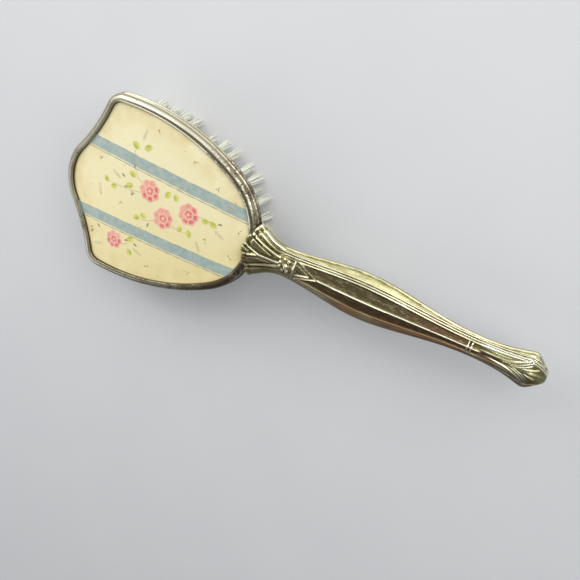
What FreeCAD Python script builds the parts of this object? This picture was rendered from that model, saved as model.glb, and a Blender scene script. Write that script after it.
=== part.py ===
# Vanity hairbrush: a framed shield-shaped head with nylon tufts, and a stamped hollow handle.
# Millimetres. +X runs along the handle to its tip, +Z points out of the decorated back.
# The origin is half way along the brush, in its plane of symmetry, level with the bristle tips.
import FreeCAD, Part
import math
import os
import Sketcher

doc = FreeCAD.newDocument("vanity_hairbrush")
sheet = doc.addObject("Spreadsheet::Sheet", "sizes")

# Driving dimensions
driving_sizes = {
    # Outer edge of the head, seen from above: one arc at the far end, then a hollow, a corner
    # and a side on each half, and one arc at the neck.
    "head_length": 103.7,
    "corner_spread": 69.2,
    "bulge_radius": 24.2,
    "hollow_radius": 82.1,
    "corner_radius": 9.3,
    "corner_setback": 25.2,
    "side_radius": 108.0,
    "neck_round_radius": 33.7,
    # Sheet-metal frame round the head
    "bezel_sheet": 0.6,
    "rim_width": 4.0,
    "rim_roll": 2.05,
    "skirt_inset": 0.5,
    "bead_radius": 0.6,
    "flange_width": 1.4,
    "pan_depth": 4.0,
    "pan_draft": 1.7,
    "pan_lip": 2.4,
    # Decorated panel and its pad
    "panel_sheet": 0.6,
    "panel_tuck": 1.8,
    "dome_rise": 2.67,
    "backing_thickness": 2.5,
    # Bristle block and tufts
    "boss_stand": 1.1,
    "block_gap": 0.2,
    "bristle_length": 18.0,
    "tuft_pitch": 7.4,
    "tuft_radius": 1.6,
    "tuft_tip_radius": 1.85,
    "tuft_wall": 1.0,
    "row_margin": 1.4,
    "hole_floor": 0.6,
    "anchor_height": 1.2,
    "anchor_width": 0.45,
    "anchor_length": 2.6,
    # Tang and its screws
    "tang_width": 8.0,
    "tang_thickness": 1.8,
    "tang_in_head": 26.0,
    "tang_in_handle": 60.0,
    "screw_setback": 3.0,
    "screw_head_radius": 1.7,
    "screw_head_height": 0.9,
    "screw_shank_radius": 0.8,
    "screw_bite": 3.0,
    # Handle, from the fan on the head to the tip
    "shell_sheet": 0.6,
    "seam_lift": 0.5,
    "fan_overlap": 6.7,
    "fan_setback": 7.5,
    "fan_length": 21.0,
    "fan_half_width": 13.6,
    "fan_height": 5.9,
    "neck_half_width": 6.7,
    "neck_height": 4.9,
    "grip_rise": 37.0,
    "swell_half_width": 10.6,
    "swell_height": 6.2,
    "grip_fall": 49.4,
    "ring_half_width": 4.9,
    "ring_height": 4.2,
    "flare_length": 24.1,
    "flare_half_width": 9.0,
    "flare_height": 4.8,
    "point_length": 6.5,
    "point_half_width": 2.4,
    "point_height": 2.4,
    "ridge_width": 0.7,
    "recess_depth": 0.5,
    "core_gap": 0.15,
    # Fits, and how far every cut runs past the metal
    "slip_gap": 0.1,
    "overrun": 5.0,
}

# Shares of the sizes named beside them
tuft_row_count = 11
screw_count = 2
halfway_share = 0.5                        # of the step from one tuft to the next
dome_reach_share = 0.35                    # of the head's length and width together
ridge_place_share = 0.55                   # of the handle's half width
ridge_level_share = 0.7                    # of the handle's height above its seam
lobe_side_shares = (0.206, 0.59, 0.96)     # lobe joins, across the fan's half width
lobe_back_shares = (0.30, 0.55, 1.0)       # lobe joins, along the fan's setback
lobe_round_shares = (0.37, 0.535, 0.95)    # lobe arc centres, along the fan's setback
cut_tolerance_share = 1e-9                 # of a body's volume

# How far along each stretch of the handle its sections stand, and how far they have changed
fan_along_shares = (0.0, 0.286, 0.4, 0.524, 0.65, 0.81)
fan_change_shares = (0.0, 0.087, 0.28, 0.55, 0.76, 0.92)
swell_along_shares = (0.0, 0.333, 0.667)
swell_change_shares = (0.0, 0.259, 0.741)
flare_along_shares = (0.0, 0.4, 0.72, 1.0)
flare_change_shares = (0.0, 0.092, 0.426, 1.0)


class Size:
    # A length together with the sheet expression that gives it.

    def __init__(self, text, value):
        self.text = text
        self.value = value

    def combine(self, sign, other):
        if not isinstance(other, Size):
            other = Size(repr(other), other)
        values = {
            "+": lambda a, b: a + b,
            "-": lambda a, b: a - b,
            "*": lambda a, b: a * b,
            "/": lambda a, b: a / b,
        }
        return Size(f"({self.text} {sign} {other.text})", values[sign](self.value, other.value))

    def __add__(self, other):
        return self.combine("+", other)

    def __sub__(self, other):
        return self.combine("-", other)

    def __mul__(self, other):
        return self.combine("*", other)

    def __truediv__(self, other):
        return self.combine("/", other)

    def __neg__(self):
        return self * -1


class Sizes:
    # The driving dimensions by name, read back from the sheet.
    pass


s = Sizes()
for row, (name, number) in enumerate(driving_sizes.items(), start=1):
    sheet.set(f"A{row}", name)
    sheet.set(f"B{row}", str(number))
    sheet.setAlias(f"B{row}", name)
doc.recompute()
for name in driving_sizes:
    setattr(s, name, Size(f"sizes.{name}", float(sheet.get(name))))

zero = Size("0", 0.0)


def between(start, end, share):
    return start + (end - start) * share


# Places along the brush
handle_run = s.fan_length + s.grip_rise + s.grip_fall + s.flare_length + s.point_length
far_x = -(s.head_length - s.fan_overlap + handle_run) / 2
neck_end_x = far_x + s.head_length
head_mid_x = far_x + s.head_length / 2
fan_x = neck_end_x - s.fan_overlap
neck_x = fan_x + s.fan_length
swell_x = neck_x + s.grip_rise
ring_x = swell_x + s.grip_fall
flare_x = ring_x + s.flare_length
tip_x = flare_x + s.point_length

# Levels, from the bristle tips up
face_z = s.bristle_length
pan_z = face_z + s.boss_stand
pan_floor_z = pan_z + s.bezel_sheet
seam_z = pan_z + s.pan_depth
bead_z = seam_z - s.bead_radius * 2
tang_z = seam_z + s.slip_gap
block_top_z = tang_z + s.tang_thickness
hole_end_z = tang_z - s.hole_floor
tuft_root_z = hole_end_z - s.anchor_height
dome_z = block_top_z + s.backing_thickness + s.panel_sheet
handle_z = block_top_z + s.seam_lift

# Insets from the head's outer edge
panel_inset = s.rim_width - s.panel_tuck
flange_inset = s.flange_width + s.block_gap
pan_wall_inset = s.bead_radius + s.pan_draft
pan_lip_inset = pan_wall_inset + s.pan_lip
waist_inset = pan_wall_inset + s.bezel_sheet + s.block_gap
boss_inset = pan_lip_inset + s.block_gap
tuft_inset = boss_inset + s.tuft_wall + s.tuft_radius
half_head = s.corner_spread / 2 + s.corner_radius


# Head outline
def circle_meeting(first, first_radius, second, second_radius, side):
    step = second - first
    reach = (first_radius ** 2 - second_radius ** 2 + step.Length ** 2) / (2 * step.Length)
    rise = math.sqrt(first_radius ** 2 - reach ** 2)
    along = step / step.Length
    across = FreeCAD.Vector(-along.y, along.x, 0)
    return first + along * reach + across * side * rise


def bearing(start, end):
    return math.atan2(end.y - start.y, end.x - start.x)


def half_outline(inset):
    # Arcs of the outline's +Y half, far end first: centre, radius, first and last angle.
    bulge_radius = s.bulge_radius.value - inset
    hollow_radius = s.hollow_radius.value + inset
    corner_radius = s.corner_radius.value - inset
    side_radius = s.side_radius.value - inset
    neck_radius = s.neck_round_radius.value - inset
    bulge = FreeCAD.Vector(far_x.value + s.bulge_radius.value, 0, 0)
    neck = FreeCAD.Vector(neck_end_x.value - s.neck_round_radius.value, 0, 0)
    corner = FreeCAD.Vector(far_x.value + s.corner_setback.value, s.corner_spread.value / 2, 0)
    hollow = circle_meeting(bulge, bulge_radius + hollow_radius, corner, hollow_radius + corner_radius, 1)
    side = circle_meeting(corner, side_radius - corner_radius, neck, side_radius - neck_radius, -1)
    return [
        (bulge, bulge_radius, bearing(bulge, hollow), math.pi),
        (hollow, hollow_radius, bearing(hollow, bulge), bearing(hollow, corner)),
        (corner, corner_radius, bearing(side, corner), bearing(corner, hollow)),
        (side, side_radius, bearing(side, neck), bearing(side, corner)),
        (neck, neck_radius, 0.0, bearing(side, neck)),
    ]


def outline_span(inset, y):
    # Least and greatest X of the outline at one Y.
    crossings = []
    for centre, radius, first, last in half_outline(inset):
        rise = abs(y) - centre.y
        if abs(rise) > radius:
            continue
        run = math.sqrt(radius ** 2 - rise ** 2)
        for x in (-run, run):
            angle = math.atan2(rise, x)
            if first <= angle <= last:
                crossings.append(centre.x + x)
    return min(crossings), max(crossings)


def nearest_edge(inset):
    # Shortest distance from the middle of the head to the outline.
    middle = FreeCAD.Vector(head_mid_x.value, 0, 0)
    gaps = []
    steps = 40
    for centre, radius, first, last in half_outline(inset):
        for step in range(steps + 1):
            angle = first + (last - first) * step / steps
            point = centre + FreeCAD.Vector(math.cos(angle), math.sin(angle), 0) * radius
            gaps.append((point - middle).Length)
    return min(gaps)


# Height of the rim, from where its lip meets the domed panel
dome_reach = (s.head_length + half_head * 2) * dome_reach_share
edge_drop_share = (nearest_edge(s.rim_width.value) / dome_reach.value) ** 2
lip_z = dome_z - s.dome_rise * edge_drop_share + s.slip_gap
shoulder_z = lip_z + s.bezel_sheet - s.rim_roll
roll_width = s.rim_width - s.skirt_inset
rim_top_z = shoulder_z + (roll_width * roll_width + s.rim_roll * s.rim_roll) / (roll_width * 2)


# Sketch helpers
START, END, CENTRE = 1, 2, 3
X_LINE, Y_LINE, ORIGIN = -1, -2, -1


def new_body(label):
    body = doc.addObject("PartDesign::Body", label)
    body.Label = label
    return body


def origin_part(body, role):
    return next(part for part in body.Origin.OriginFeatures if part.Role == role)


def new_sketch(body, name, plane, offset):
    sketch = body.newObject("Sketcher::SketchObject", name)
    sketch.AttachmentSupport = [(origin_part(body, plane), "")]
    sketch.MapMode = "FlatFace"
    for axis, size in zip("xyz", offset):
        sketch.setExpression(f"AttachmentOffset.Base.{axis}", size.text)
    return sketch


def dimension(sketch, kind, where, size):
    index = sketch.addConstraint(Sketcher.Constraint(kind, *where, size.value))
    sketch.setExpression(f"Constraints[{index}]", size.text)


def fix_point(sketch, edge, end, x, y):
    for kind, size, axis_line in (("DistanceX", x, Y_LINE), ("DistanceY", y, X_LINE)):
        if size is zero:
            sketch.addConstraint(Sketcher.Constraint("PointOnObject", edge, end, axis_line))
        else:
            dimension(sketch, kind, (ORIGIN, START, edge, end), size)


def arc_centre(start, end, axis, along):
    # The centre that lies at `along` on one axis and as far from the start as from the end.
    gap = end - start
    middle = (start + end) / 2
    if axis == "x":
        return FreeCAD.Vector(along, middle.y - (along - middle.x) * gap.x / gap.y, 0)
    return FreeCAD.Vector(middle.x - (along - middle.y) * gap.y / gap.x, along, 0)


def draw_profile(sketch, corners, arcs=None):
    # A closed outline through the corners. An entry of `arcs` makes the edge that starts at
    # that corner an arc, from its centre's place on one axis and its turn, 1 anticlockwise.
    arcs = arcs or {}
    points = [FreeCAD.Vector(x.value, y.value, 0) for x, y in corners]
    normal = FreeCAD.Vector(0, 0, 1)
    ends = []
    for edge, start in enumerate(points):
        end = points[(edge + 1) % len(points)]
        if edge not in arcs:
            sketch.addGeometry(Part.LineSegment(start, end))
            ends.append((START, END))
            continue
        axis, along, turn = arcs[edge]
        centre = arc_centre(start, end, axis, along.value)
        circle = Part.Circle(centre, normal, (start - centre).Length)
        first, last = (start, end) if turn > 0 else (end, start)
        from_angle = bearing(centre, first)
        to_angle = bearing(centre, last)
        sketch.addGeometry(Part.ArcOfCircle(circle, from_angle, to_angle))
        ends.append((START, END) if turn > 0 else (END, START))
    for edge in range(len(points)):
        following = (edge + 1) % len(points)
        joint = (edge, ends[edge][1], following, ends[following][0])
        sketch.addConstraint(Sketcher.Constraint("Coincident", *joint))
    for edge, (x, y) in enumerate(corners):
        fix_point(sketch, edge, ends[edge][0], x, y)
    for edge, (axis, along, turn) in arcs.items():
        axis_line = Y_LINE if axis == "x" else X_LINE
        if along is zero:
            sketch.addConstraint(Sketcher.Constraint("PointOnObject", edge, CENTRE, axis_line))
        else:
            dimension(sketch, f"Distance{axis.upper()}", (ORIGIN, START, edge, CENTRE), along)


def draw_outline(sketch, inset):
    # The head's outline as eight tangent arcs, set in from its outer edge.
    normal = FreeCAD.Vector(0, 0, 1)
    bulge, hollow, corner, side, neck = half_outline(inset.value)
    pieces = [(bulge[0], bulge[1], bulge[2], 2 * math.pi - bulge[2])]
    pieces += [hollow, corner, side]
    pieces += [(neck[0], neck[1], -neck[3], neck[3])]
    for centre, radius, first, last in (side, corner, hollow):
        mirrored = FreeCAD.Vector(centre.x, -centre.y, 0)
        pieces.append((mirrored, radius, -last, -first))
    for centre, radius, first, last in pieces:
        sketch.addGeometry(Part.ArcOfCircle(Part.Circle(centre, normal, radius), first, last))
    bulge_arc, hollow_arc, corner_arc, side_arc, neck_arc, low_side, low_corner, low_hollow = range(8)
    joints = [
        (bulge_arc, START, hollow_arc, START),
        (hollow_arc, END, corner_arc, END),
        (corner_arc, START, side_arc, END),
        (side_arc, START, neck_arc, END),
        (neck_arc, START, low_side, END),
        (low_side, START, low_corner, END),
        (low_corner, START, low_hollow, START),
        (low_hollow, END, bulge_arc, END),
    ]
    for joint in joints:
        sketch.addConstraint(Sketcher.Constraint("Tangent", *joint))
    for arc in (bulge_arc, neck_arc):
        sketch.addConstraint(Sketcher.Constraint("PointOnObject", arc, CENTRE, X_LINE))
    places = [
        (bulge_arc, "DistanceX", far_x + s.bulge_radius),
        (neck_arc, "DistanceX", neck_end_x - s.neck_round_radius),
        (corner_arc, "DistanceX", far_x + s.corner_setback),
        (corner_arc, "DistanceY", s.corner_spread / 2),
        (low_corner, "DistanceX", far_x + s.corner_setback),
        (low_corner, "DistanceY", -s.corner_spread / 2),
    ]
    for arc, kind, size in places:
        dimension(sketch, kind, (ORIGIN, START, arc, CENTRE), size)
    radii = [
        (s.bulge_radius - inset, [bulge_arc]),
        (s.hollow_radius + inset, [hollow_arc, low_hollow]),
        (s.corner_radius - inset, [corner_arc, low_corner]),
        (s.side_radius - inset, [side_arc, low_side]),
        (s.neck_round_radius - inset, [neck_arc]),
    ]
    for size, arcs in radii:
        for arc in arcs:
            dimension(sketch, "Radius", (arc,), size)


def rectangle(x_low, x_high, y_low, y_high):
    return [(x_low, y_low), (x_high, y_low), (x_high, y_high), (x_low, y_high)]


# Feature helpers
def pad(body, name, sketch, length):
    feature = body.newObject("PartDesign::Pad", name)
    feature.Profile = sketch
    feature.setExpression("Length", length.text)
    return feature


def pad_outline(body, name, inset, bottom, top):
    sketch = new_sketch(body, f"{name}_outline", "XY_Plane", (zero, zero, bottom))
    draw_outline(sketch, inset)
    return pad(body, name, sketch, top - bottom)


def cut(body, kind, name, set_up):
    # Adds a cutting feature and turns it round if it has taken nothing away.
    doc.recompute()
    volume_before = body.Shape.Volume
    feature = body.newObject(f"PartDesign::{kind}", name)
    set_up(feature)
    doc.recompute()
    if body.Shape.Volume > volume_before * (1 - cut_tolerance_share):
        feature.Reversed = True
        doc.recompute()
    if body.Shape.Volume > volume_before * (1 - cut_tolerance_share):
        raise RuntimeError(f"{name} cuts nothing")
    return feature


def pocket(body, name, sketch, depth):
    def set_up(feature):
        feature.Profile = sketch
        feature.setExpression("Length", depth.text)
    return cut(body, "Pocket", name, set_up)


def drill(body, name, mouth, radius, depth):
    sketch = new_sketch(body, f"{name}_outline", "XY_Plane", mouth)
    sketch.addGeometry(Part.Circle(FreeCAD.Vector(), FreeCAD.Vector(0, 0, 1), radius.value))
    sketch.addConstraint(Sketcher.Constraint("Coincident", 0, CENTRE, ORIGIN, START))
    dimension(sketch, "Radius", (0,), radius)
    return pocket(body, name, sketch, depth)


def groove(body, name, sketch):
    def set_up(feature):
        feature.Profile = sketch
        feature.ReferenceAxis = (sketch, ["V_Axis"])
        feature.Angle = 360
    return cut(body, "Groove", name, set_up)


def repeat_along_x(body, name, feature, count, pitch):
    if count < 2:
        return
    pattern = body.newObject("PartDesign::LinearPattern", name)
    pattern.Originals = [feature]
    pattern.Direction = (origin_part(body, "X_Axis"), [""])
    pattern.setExpression("Length", (pitch * (count - 1)).text)
    pattern.Occurrences = count
    body.Tip = pattern


def loft(body, kind, name, sketches, ruled=False):
    feature = body.newObject(f"PartDesign::{kind}", name)
    feature.Profile = sketches[0]
    feature.Sections = [(sketch, [""]) for sketch in sketches[1:]]
    feature.Ruled = ruled
    return feature


# Head: the domed panel and its pad
def dome_groove(body, name, apex, far_level):
    # Cuts away what lies beyond the dome, up or down to the far level.
    sketch = new_sketch(body, f"{name}_profile", "XZ_Plane", (head_mid_x, zero, zero))
    rim = apex - s.dome_rise
    corners = [(zero, apex), (zero, far_level), (dome_reach, far_level), (dome_reach, rim)]
    draw_profile(sketch, corners, {3: ("x", zero, 1)})
    groove(body, name, sketch)


def build_back_panel():
    body = new_body("back_panel")
    low = block_top_z - s.overrun
    high = dome_z + s.overrun
    pad_outline(body, "panel_blank", panel_inset, low, high)
    dome_groove(body, "panel_dome", dome_z, high + s.overrun)
    dome_groove(body, "panel_underside", dome_z - s.panel_sheet, low - s.overrun)
    return body


def build_panel_backing():
    body = new_body("panel_backing")
    high = dome_z + s.overrun
    pad_outline(body, "backing_blank", panel_inset, block_top_z, high)
    dome_groove(body, "backing_dome", dome_z - s.panel_sheet, high + s.overrun)
    return body


# Head: the two bezels
def sweep_round_head(body, name, corners, arcs):
    profile = new_sketch(body, f"{name}_profile", "XZ_Plane", (far_x, zero, zero))
    draw_profile(profile, corners, arcs)
    path = new_sketch(body, f"{name}_path", "XY_Plane", (zero, zero, seam_z))
    draw_outline(path, zero)
    pipe = body.newObject("PartDesign::AdditivePipe", name)
    pipe.Profile = profile
    pipe.Spine = (path, [])
    return pipe


def build_rear_bezel():
    body = new_body("rear_bezel")
    wall_inside = s.skirt_inset + s.bezel_sheet
    corners = [
        (s.rim_width, lip_z),
        (s.rim_width, lip_z + s.bezel_sheet),
        (s.skirt_inset, shoulder_z),
        (s.skirt_inset, seam_z),
        (wall_inside, seam_z),
        (wall_inside, shoulder_z),
    ]
    roll_arcs = {1: ("y", shoulder_z, 1), 5: ("y", shoulder_z, -1)}
    sweep_round_head(body, "rolled_rim", corners, roll_arcs)
    slot_half = s.tang_width / 2 + s.slip_gap
    slot = new_sketch(body, "tang_notch_outline", "XY_Plane", (zero, zero, seam_z - s.overrun))
    notch = rectangle(neck_end_x - s.rim_width, neck_end_x + s.overrun, -slot_half, slot_half)
    draw_profile(slot, notch)
    pocket(body, "tang_notch", slot, block_top_z + s.slip_gap - seam_z + s.overrun)
    return body


def build_front_bezel():
    body = new_body("front_bezel")
    corners = [
        (s.flange_width, seam_z),
        (s.bead_radius, seam_z),
        (s.bead_radius, bead_z),
        (pan_wall_inset, pan_z),
        (pan_lip_inset, pan_z),
        (pan_lip_inset, pan_floor_z),
        (pan_wall_inset + s.bezel_sheet, pan_floor_z),
        (s.flange_width, bead_z),
    ]
    sweep_round_head(body, "beaded_pan", corners, {1: ("x", s.bead_radius, 1)})
    return body


# Head: the drilled block, its tufts and their anchors
def tuft_rows():
    # Y of each row, X of its first tuft, how many tufts fill it, and the step between them.
    outer_row = half_head - tuft_inset - s.row_margin
    middle_row = (tuft_row_count - 1) / 2
    for row in range(tuft_row_count):
        y = outer_row * ((row - middle_row) / middle_row)
        low, high = outline_span(tuft_inset.value, y.value)
        start = (low - head_mid_x.value) / s.tuft_pitch.value
        span = (high - low) / s.tuft_pitch.value
        steps = max(1, round(span))
        yield y, head_mid_x + s.tuft_pitch * start, steps + 1, s.tuft_pitch * (span / steps)


def screw_places():
    # X of the first screw and the step to the next, half way between tufts of the middle row.
    middle_row = list(tuft_rows())[tuft_row_count // 2]
    first_x, step = middle_row[1], middle_row[3]
    room = neck_end_x - s.tang_in_head + s.screw_setback - first_x
    passed = math.ceil(room.value / step.value - halfway_share)
    return first_x + step * (passed + halfway_share), step


def build_bristle_block():
    body = new_body("bristle_block")
    pad_outline(body, "block_flange", flange_inset, bead_z, block_top_z)
    pad_outline(body, "block_waist", waist_inset, pan_floor_z, bead_z)
    pad_outline(body, "block_boss", boss_inset, face_z, pan_floor_z)
    slot_half = s.tang_width / 2 + s.slip_gap
    tang_start_x = neck_end_x - s.tang_in_head - s.slip_gap
    slot = new_sketch(body, "tang_slot_outline", "XY_Plane", (zero, zero, block_top_z))
    draw_profile(slot, rectangle(tang_start_x, neck_end_x + s.overrun, -slot_half, slot_half))
    pocket(body, "tang_slot", slot, s.tang_thickness)
    screw_x, screw_step = screw_places()
    pilot = drill(body, "pilot_hole", (screw_x, zero, tang_z), s.screw_shank_radius, s.screw_bite)
    repeat_along_x(body, "pilot_holes", pilot, screw_count, screw_step)
    for row, (y, first_x, count, step) in enumerate(tuft_rows(), start=1):
        mouth = (first_x, y, face_z)
        hole = drill(body, f"hole_{row:02d}", mouth, s.tuft_radius, hole_end_z - face_z)
        repeat_along_x(body, f"hole_row_{row:02d}", hole, count, step)
    return body


def build_tuft_row(row, y, first_x, count, step):
    # A tuft fills its hole, and spreads a little on its way to the tip.
    body = new_body(f"tuft_row_{row:02d}")
    body.AllowCompound = True
    sketch = new_sketch(body, f"tuft_{row:02d}_profile", "XZ_Plane", (first_x, zero, -y))
    corners = [
        (zero, zero),
        (s.tuft_tip_radius, zero),
        (s.tuft_radius, face_z),
        (s.tuft_radius, tuft_root_z),
        (zero, tuft_root_z),
    ]
    draw_profile(sketch, corners)
    tuft = body.newObject("PartDesign::Revolution", f"tuft_{row:02d}")
    tuft.Profile = sketch
    tuft.ReferenceAxis = (sketch, ["V_Axis"])
    tuft.Angle = 360
    repeat_along_x(body, f"tufts_{row:02d}", tuft, count, step)
    return body


def build_anchor_row(row, y, first_x, count, step):
    body = new_body(f"anchor_row_{row:02d}")
    body.AllowCompound = True
    sketch = new_sketch(body, f"anchor_{row:02d}_outline", "XY_Plane", (first_x, y, tuft_root_z))
    half_length = s.anchor_length / 2
    half_width = s.anchor_width / 2
    draw_profile(sketch, rectangle(-half_length, half_length, -half_width, half_width))
    anchor = pad(body, f"anchor_{row:02d}", sketch, s.anchor_height)
    repeat_along_x(body, f"anchors_{row:02d}", anchor, count, step)
    return body


def build_tufts():
    rows = []
    anchors = []
    for row, places in enumerate(tuft_rows(), start=1):
        rows.append(build_tuft_row(row, *places))
        anchors.append(build_anchor_row(row, *places))
    anchor_group = doc.addObject("Part::Compound", "tuft_anchors")
    anchor_group.Label = "tuft_anchors"
    anchor_group.Links = anchors
    return rows + [anchor_group]


# Tang and screws
def build_tang():
    body = new_body("tang")
    sketch = new_sketch(body, "tang_outline", "XY_Plane", (zero, zero, tang_z))
    half = s.tang_width / 2
    corners = rectangle(neck_end_x - s.tang_in_head, neck_end_x + s.tang_in_handle, -half, half)
    draw_profile(sketch, corners)
    pad(body, "tang_bar", sketch, s.tang_thickness)
    screw_x, screw_step = screw_places()
    seat = new_sketch(body, "screw_seat_profile", "XZ_Plane", (screw_x, zero, zero))
    shank = s.screw_shank_radius + s.slip_gap
    head = s.screw_head_radius + s.slip_gap
    seat_z = block_top_z - s.screw_head_height
    corners = [
        (zero, tang_z - s.overrun),
        (shank, tang_z - s.overrun),
        (shank, seat_z),
        (head, seat_z),
        (head, block_top_z + s.overrun),
        (zero, block_top_z + s.overrun),
    ]
    draw_profile(seat, corners)
    seats = groove(body, "screw_seat", seat)
    repeat_along_x(body, "screw_seats", seats, screw_count, screw_step)
    return body


def build_tang_screws():
    body = new_body("tang_screws")
    body.AllowCompound = True
    screw_x, screw_step = screw_places()
    sketch = new_sketch(body, "screw_profile", "XZ_Plane", (screw_x, zero, zero))
    seat_z = block_top_z - s.screw_head_height
    corners = [
        (zero, tang_z - s.screw_bite),
        (s.screw_shank_radius, tang_z - s.screw_bite),
        (s.screw_shank_radius, seat_z),
        (s.screw_head_radius, seat_z),
        (s.screw_head_radius, block_top_z),
        (zero, block_top_z),
    ]
    draw_profile(sketch, corners)
    screw = body.newObject("PartDesign::Revolution", "screw")
    screw.Profile = sketch
    screw.ReferenceAxis = (sketch, ["V_Axis"])
    screw.Angle = 360
    repeat_along_x(body, "screws", screw, screw_count, screw_step)
    return body


# Handle
def handle_stations():
    # Place, half width and height above or below the seam, from the fan to the flare.
    fan = (fan_x, s.fan_half_width, s.fan_height)
    neck = (neck_x, s.neck_half_width, s.neck_height)
    swell = (swell_x, s.swell_half_width, s.swell_height)
    ring = (ring_x, s.ring_half_width, s.ring_height)
    flare = (flare_x, s.flare_half_width, s.flare_height)
    stretches = [
        (fan, neck, fan_along_shares, fan_change_shares),
        (neck, swell, swell_along_shares, swell_change_shares),
        (swell, ring, swell_along_shares, swell_change_shares),
        (ring, flare, flare_along_shares, flare_change_shares),
    ]
    stations = []
    for start, end, along_shares, change_shares in stretches:
        for along_share, change_share in zip(along_shares, change_shares):
            x = between(start[0], end[0], along_share)
            half_width = between(start[1], end[1], change_share)
            height = between(start[2], end[2], change_share)
            stations.append((x, half_width, height))
    return stations


def handle_section(body, name, station, inset, side):
    # Rounded flanks rise from the seam to a ridge on each side. Between the ridges two shallow
    # panels rise to a keel along the middle.
    x, half_width, height = station
    sketch = new_sketch(body, name, "YZ_Plane", (zero, handle_z, x))
    ridge_outside = half_width * ridge_place_share
    ridge_inside = ridge_outside - s.ridge_width
    keel_foot = s.ridge_width / 2
    ridge_top = (height * ridge_level_share - inset) * side
    ridge_foot = (height * ridge_level_share - s.recess_depth - inset) * side
    keel_base = (height - s.recess_depth - inset) * side
    keel_top = (height - inset) * side
    half = [
        (half_width - inset, zero),
        (ridge_outside, ridge_top),
        (ridge_inside, ridge_foot),
        (keel_foot, keel_base),
    ]
    corners = half + [(zero, keel_top)] + [(-y, z) for y, z in reversed(half[1:])]
    corners += [(inset - half_width, zero)]
    draw_profile(sketch, corners, {0: ("y", zero, side), 7: ("y", zero, side)})
    return sketch


def handle_loft(body, kind, name, stations, inset, side, ruled=False):
    sketches = []
    for index, station in enumerate(stations):
        sketches.append(handle_section(body, f"{name}_{index:02d}", station, inset, side))
    return loft(body, kind, name, sketches, ruled)


def build_handle_half(label, side):
    # A thin stamping, closed at the point and open along the seam.
    body = new_body(label)
    stations = handle_stations()
    point = (tip_x, s.point_half_width, s.point_height)
    point_inside = (tip_x - s.shell_sheet * 2, s.point_half_width, s.point_height)
    handle_loft(body, "AdditiveLoft", f"{label}_grip", stations, zero, side)
    handle_loft(body, "AdditiveLoft", f"{label}_point", [stations[-1], point], zero, side, True)
    hollow = stations[1:]
    handle_loft(body, "SubtractiveLoft", f"{label}_hollow", hollow, s.shell_sheet, side)
    end = [stations[-1], point_inside]
    handle_loft(body, "SubtractiveLoft", f"{label}_end", end, s.shell_sheet, side, True)
    return body


def build_lobe_cutter():
    # What the fan's five rounded lobes leave free at its end.
    body = new_body("lobe_cutter")
    sketch = new_sketch(body, "lobe_outline", "XY_Plane", (zero, zero, handle_z))
    joins = []
    for side_share, back_share in zip(lobe_side_shares, lobe_back_shares):
        joins.append((fan_x + s.fan_setback * back_share, s.fan_half_width * side_share))
    near_x = fan_x - s.overrun
    wide = s.fan_half_width + s.overrun
    corners = [(near_x, wide), (near_x, -wide), (joins[2][0], -wide)]
    corners += [(x, -y) for x, y in reversed(joins)]
    corners += joins
    corners += [(joins[2][0], wide)]
    rounds = [fan_x + s.fan_setback * share for share in lobe_round_shares]
    arcs = {}
    for edge, centre in enumerate(rounds[:0:-1] + rounds, start=3):
        arcs[edge] = ("x", centre, -1)
    draw_profile(sketch, corners, arcs)
    pad(body, "lobe_block", sketch, s.fan_height + s.overrun)
    return body


def build_head_clearance():
    # The space that the head takes up, which the handle is cut back to.
    block = new_body("head_block")
    pad_outline(block, "head_envelope", -s.slip_gap, zero, rim_top_z + s.slip_gap)
    dish = new_body("head_dish")
    high = dome_z + s.overrun
    pad_outline(dish, "dish_blank", s.rim_width, block_top_z, high)
    dome_groove(dish, "dish_floor", dome_z + s.slip_gap, block_top_z - s.overrun)
    clearance = doc.addObject("Part::Cut", "head_clearance")
    clearance.Base = block
    clearance.Tool = dish
    return clearance


def cut_from(base, tool, label):
    result = doc.addObject("Part::Cut", label)
    result.Label = label
    result.Base = base
    result.Tool = tool
    return result


def build_handle_shells():
    clearance = build_head_clearance()
    back = cut_from(build_handle_half("back_stamping", 1), build_lobe_cutter(), "scalloped_stamping")
    front = build_handle_half("front_stamping", -1)
    return [
        cut_from(back, clearance, "handle_back_shell"),
        cut_from(front, clearance, "handle_front_shell"),
    ]


def build_handle_core(tang):
    inset = s.shell_sheet + s.core_gap
    kept = [station for station in handle_stations() if neck_x.value < station[0].value < ring_x.value]
    halves = []
    for label, side in (("core_back", 1), ("core_front", -1)):
        body = new_body(label)
        handle_loft(body, "AdditiveLoft", f"{label}_filler", kept, inset, side)
        halves.append(body)
    filler = doc.addObject("Part::Fuse", "core_filler")
    filler.Base, filler.Tool = halves
    return cut_from(filler, tang, "handle_core")


def check_and_export(parts):
    doc.recompute()
    for item in doc.Objects:
        if "Invalid" in item.State or "Error" in item.State:
            raise RuntimeError(f"{item.Name} failed: {item.State}")
    os.makedirs("parts", exist_ok=True)
    for part in parts:
        shape = part.Shape
        if shape.isNull() or not shape.isValid() or not shape.Solids:
            raise RuntimeError(f"{part.Label} has no sound shape")
    for part in parts:
        part.Shape.exportStep(f"parts/{part.Label}.step")
        print(f"{part.Label}: {len(part.Shape.Solids)} solids, {part.Shape.Volume:.1f} mm3")


tang = build_tang()
nodes = [build_back_panel(), build_panel_backing(), build_rear_bezel(), build_front_bezel()]
nodes += [build_bristle_block()]
nodes += build_tufts()
nodes += [tang, build_tang_screws()]
nodes += build_handle_shells()
nodes += [build_handle_core(tang)]
check_and_export(nodes)
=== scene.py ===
import bmesh
import bpy
import functools
import math
import random
from mathutils import Matrix, Vector


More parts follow.
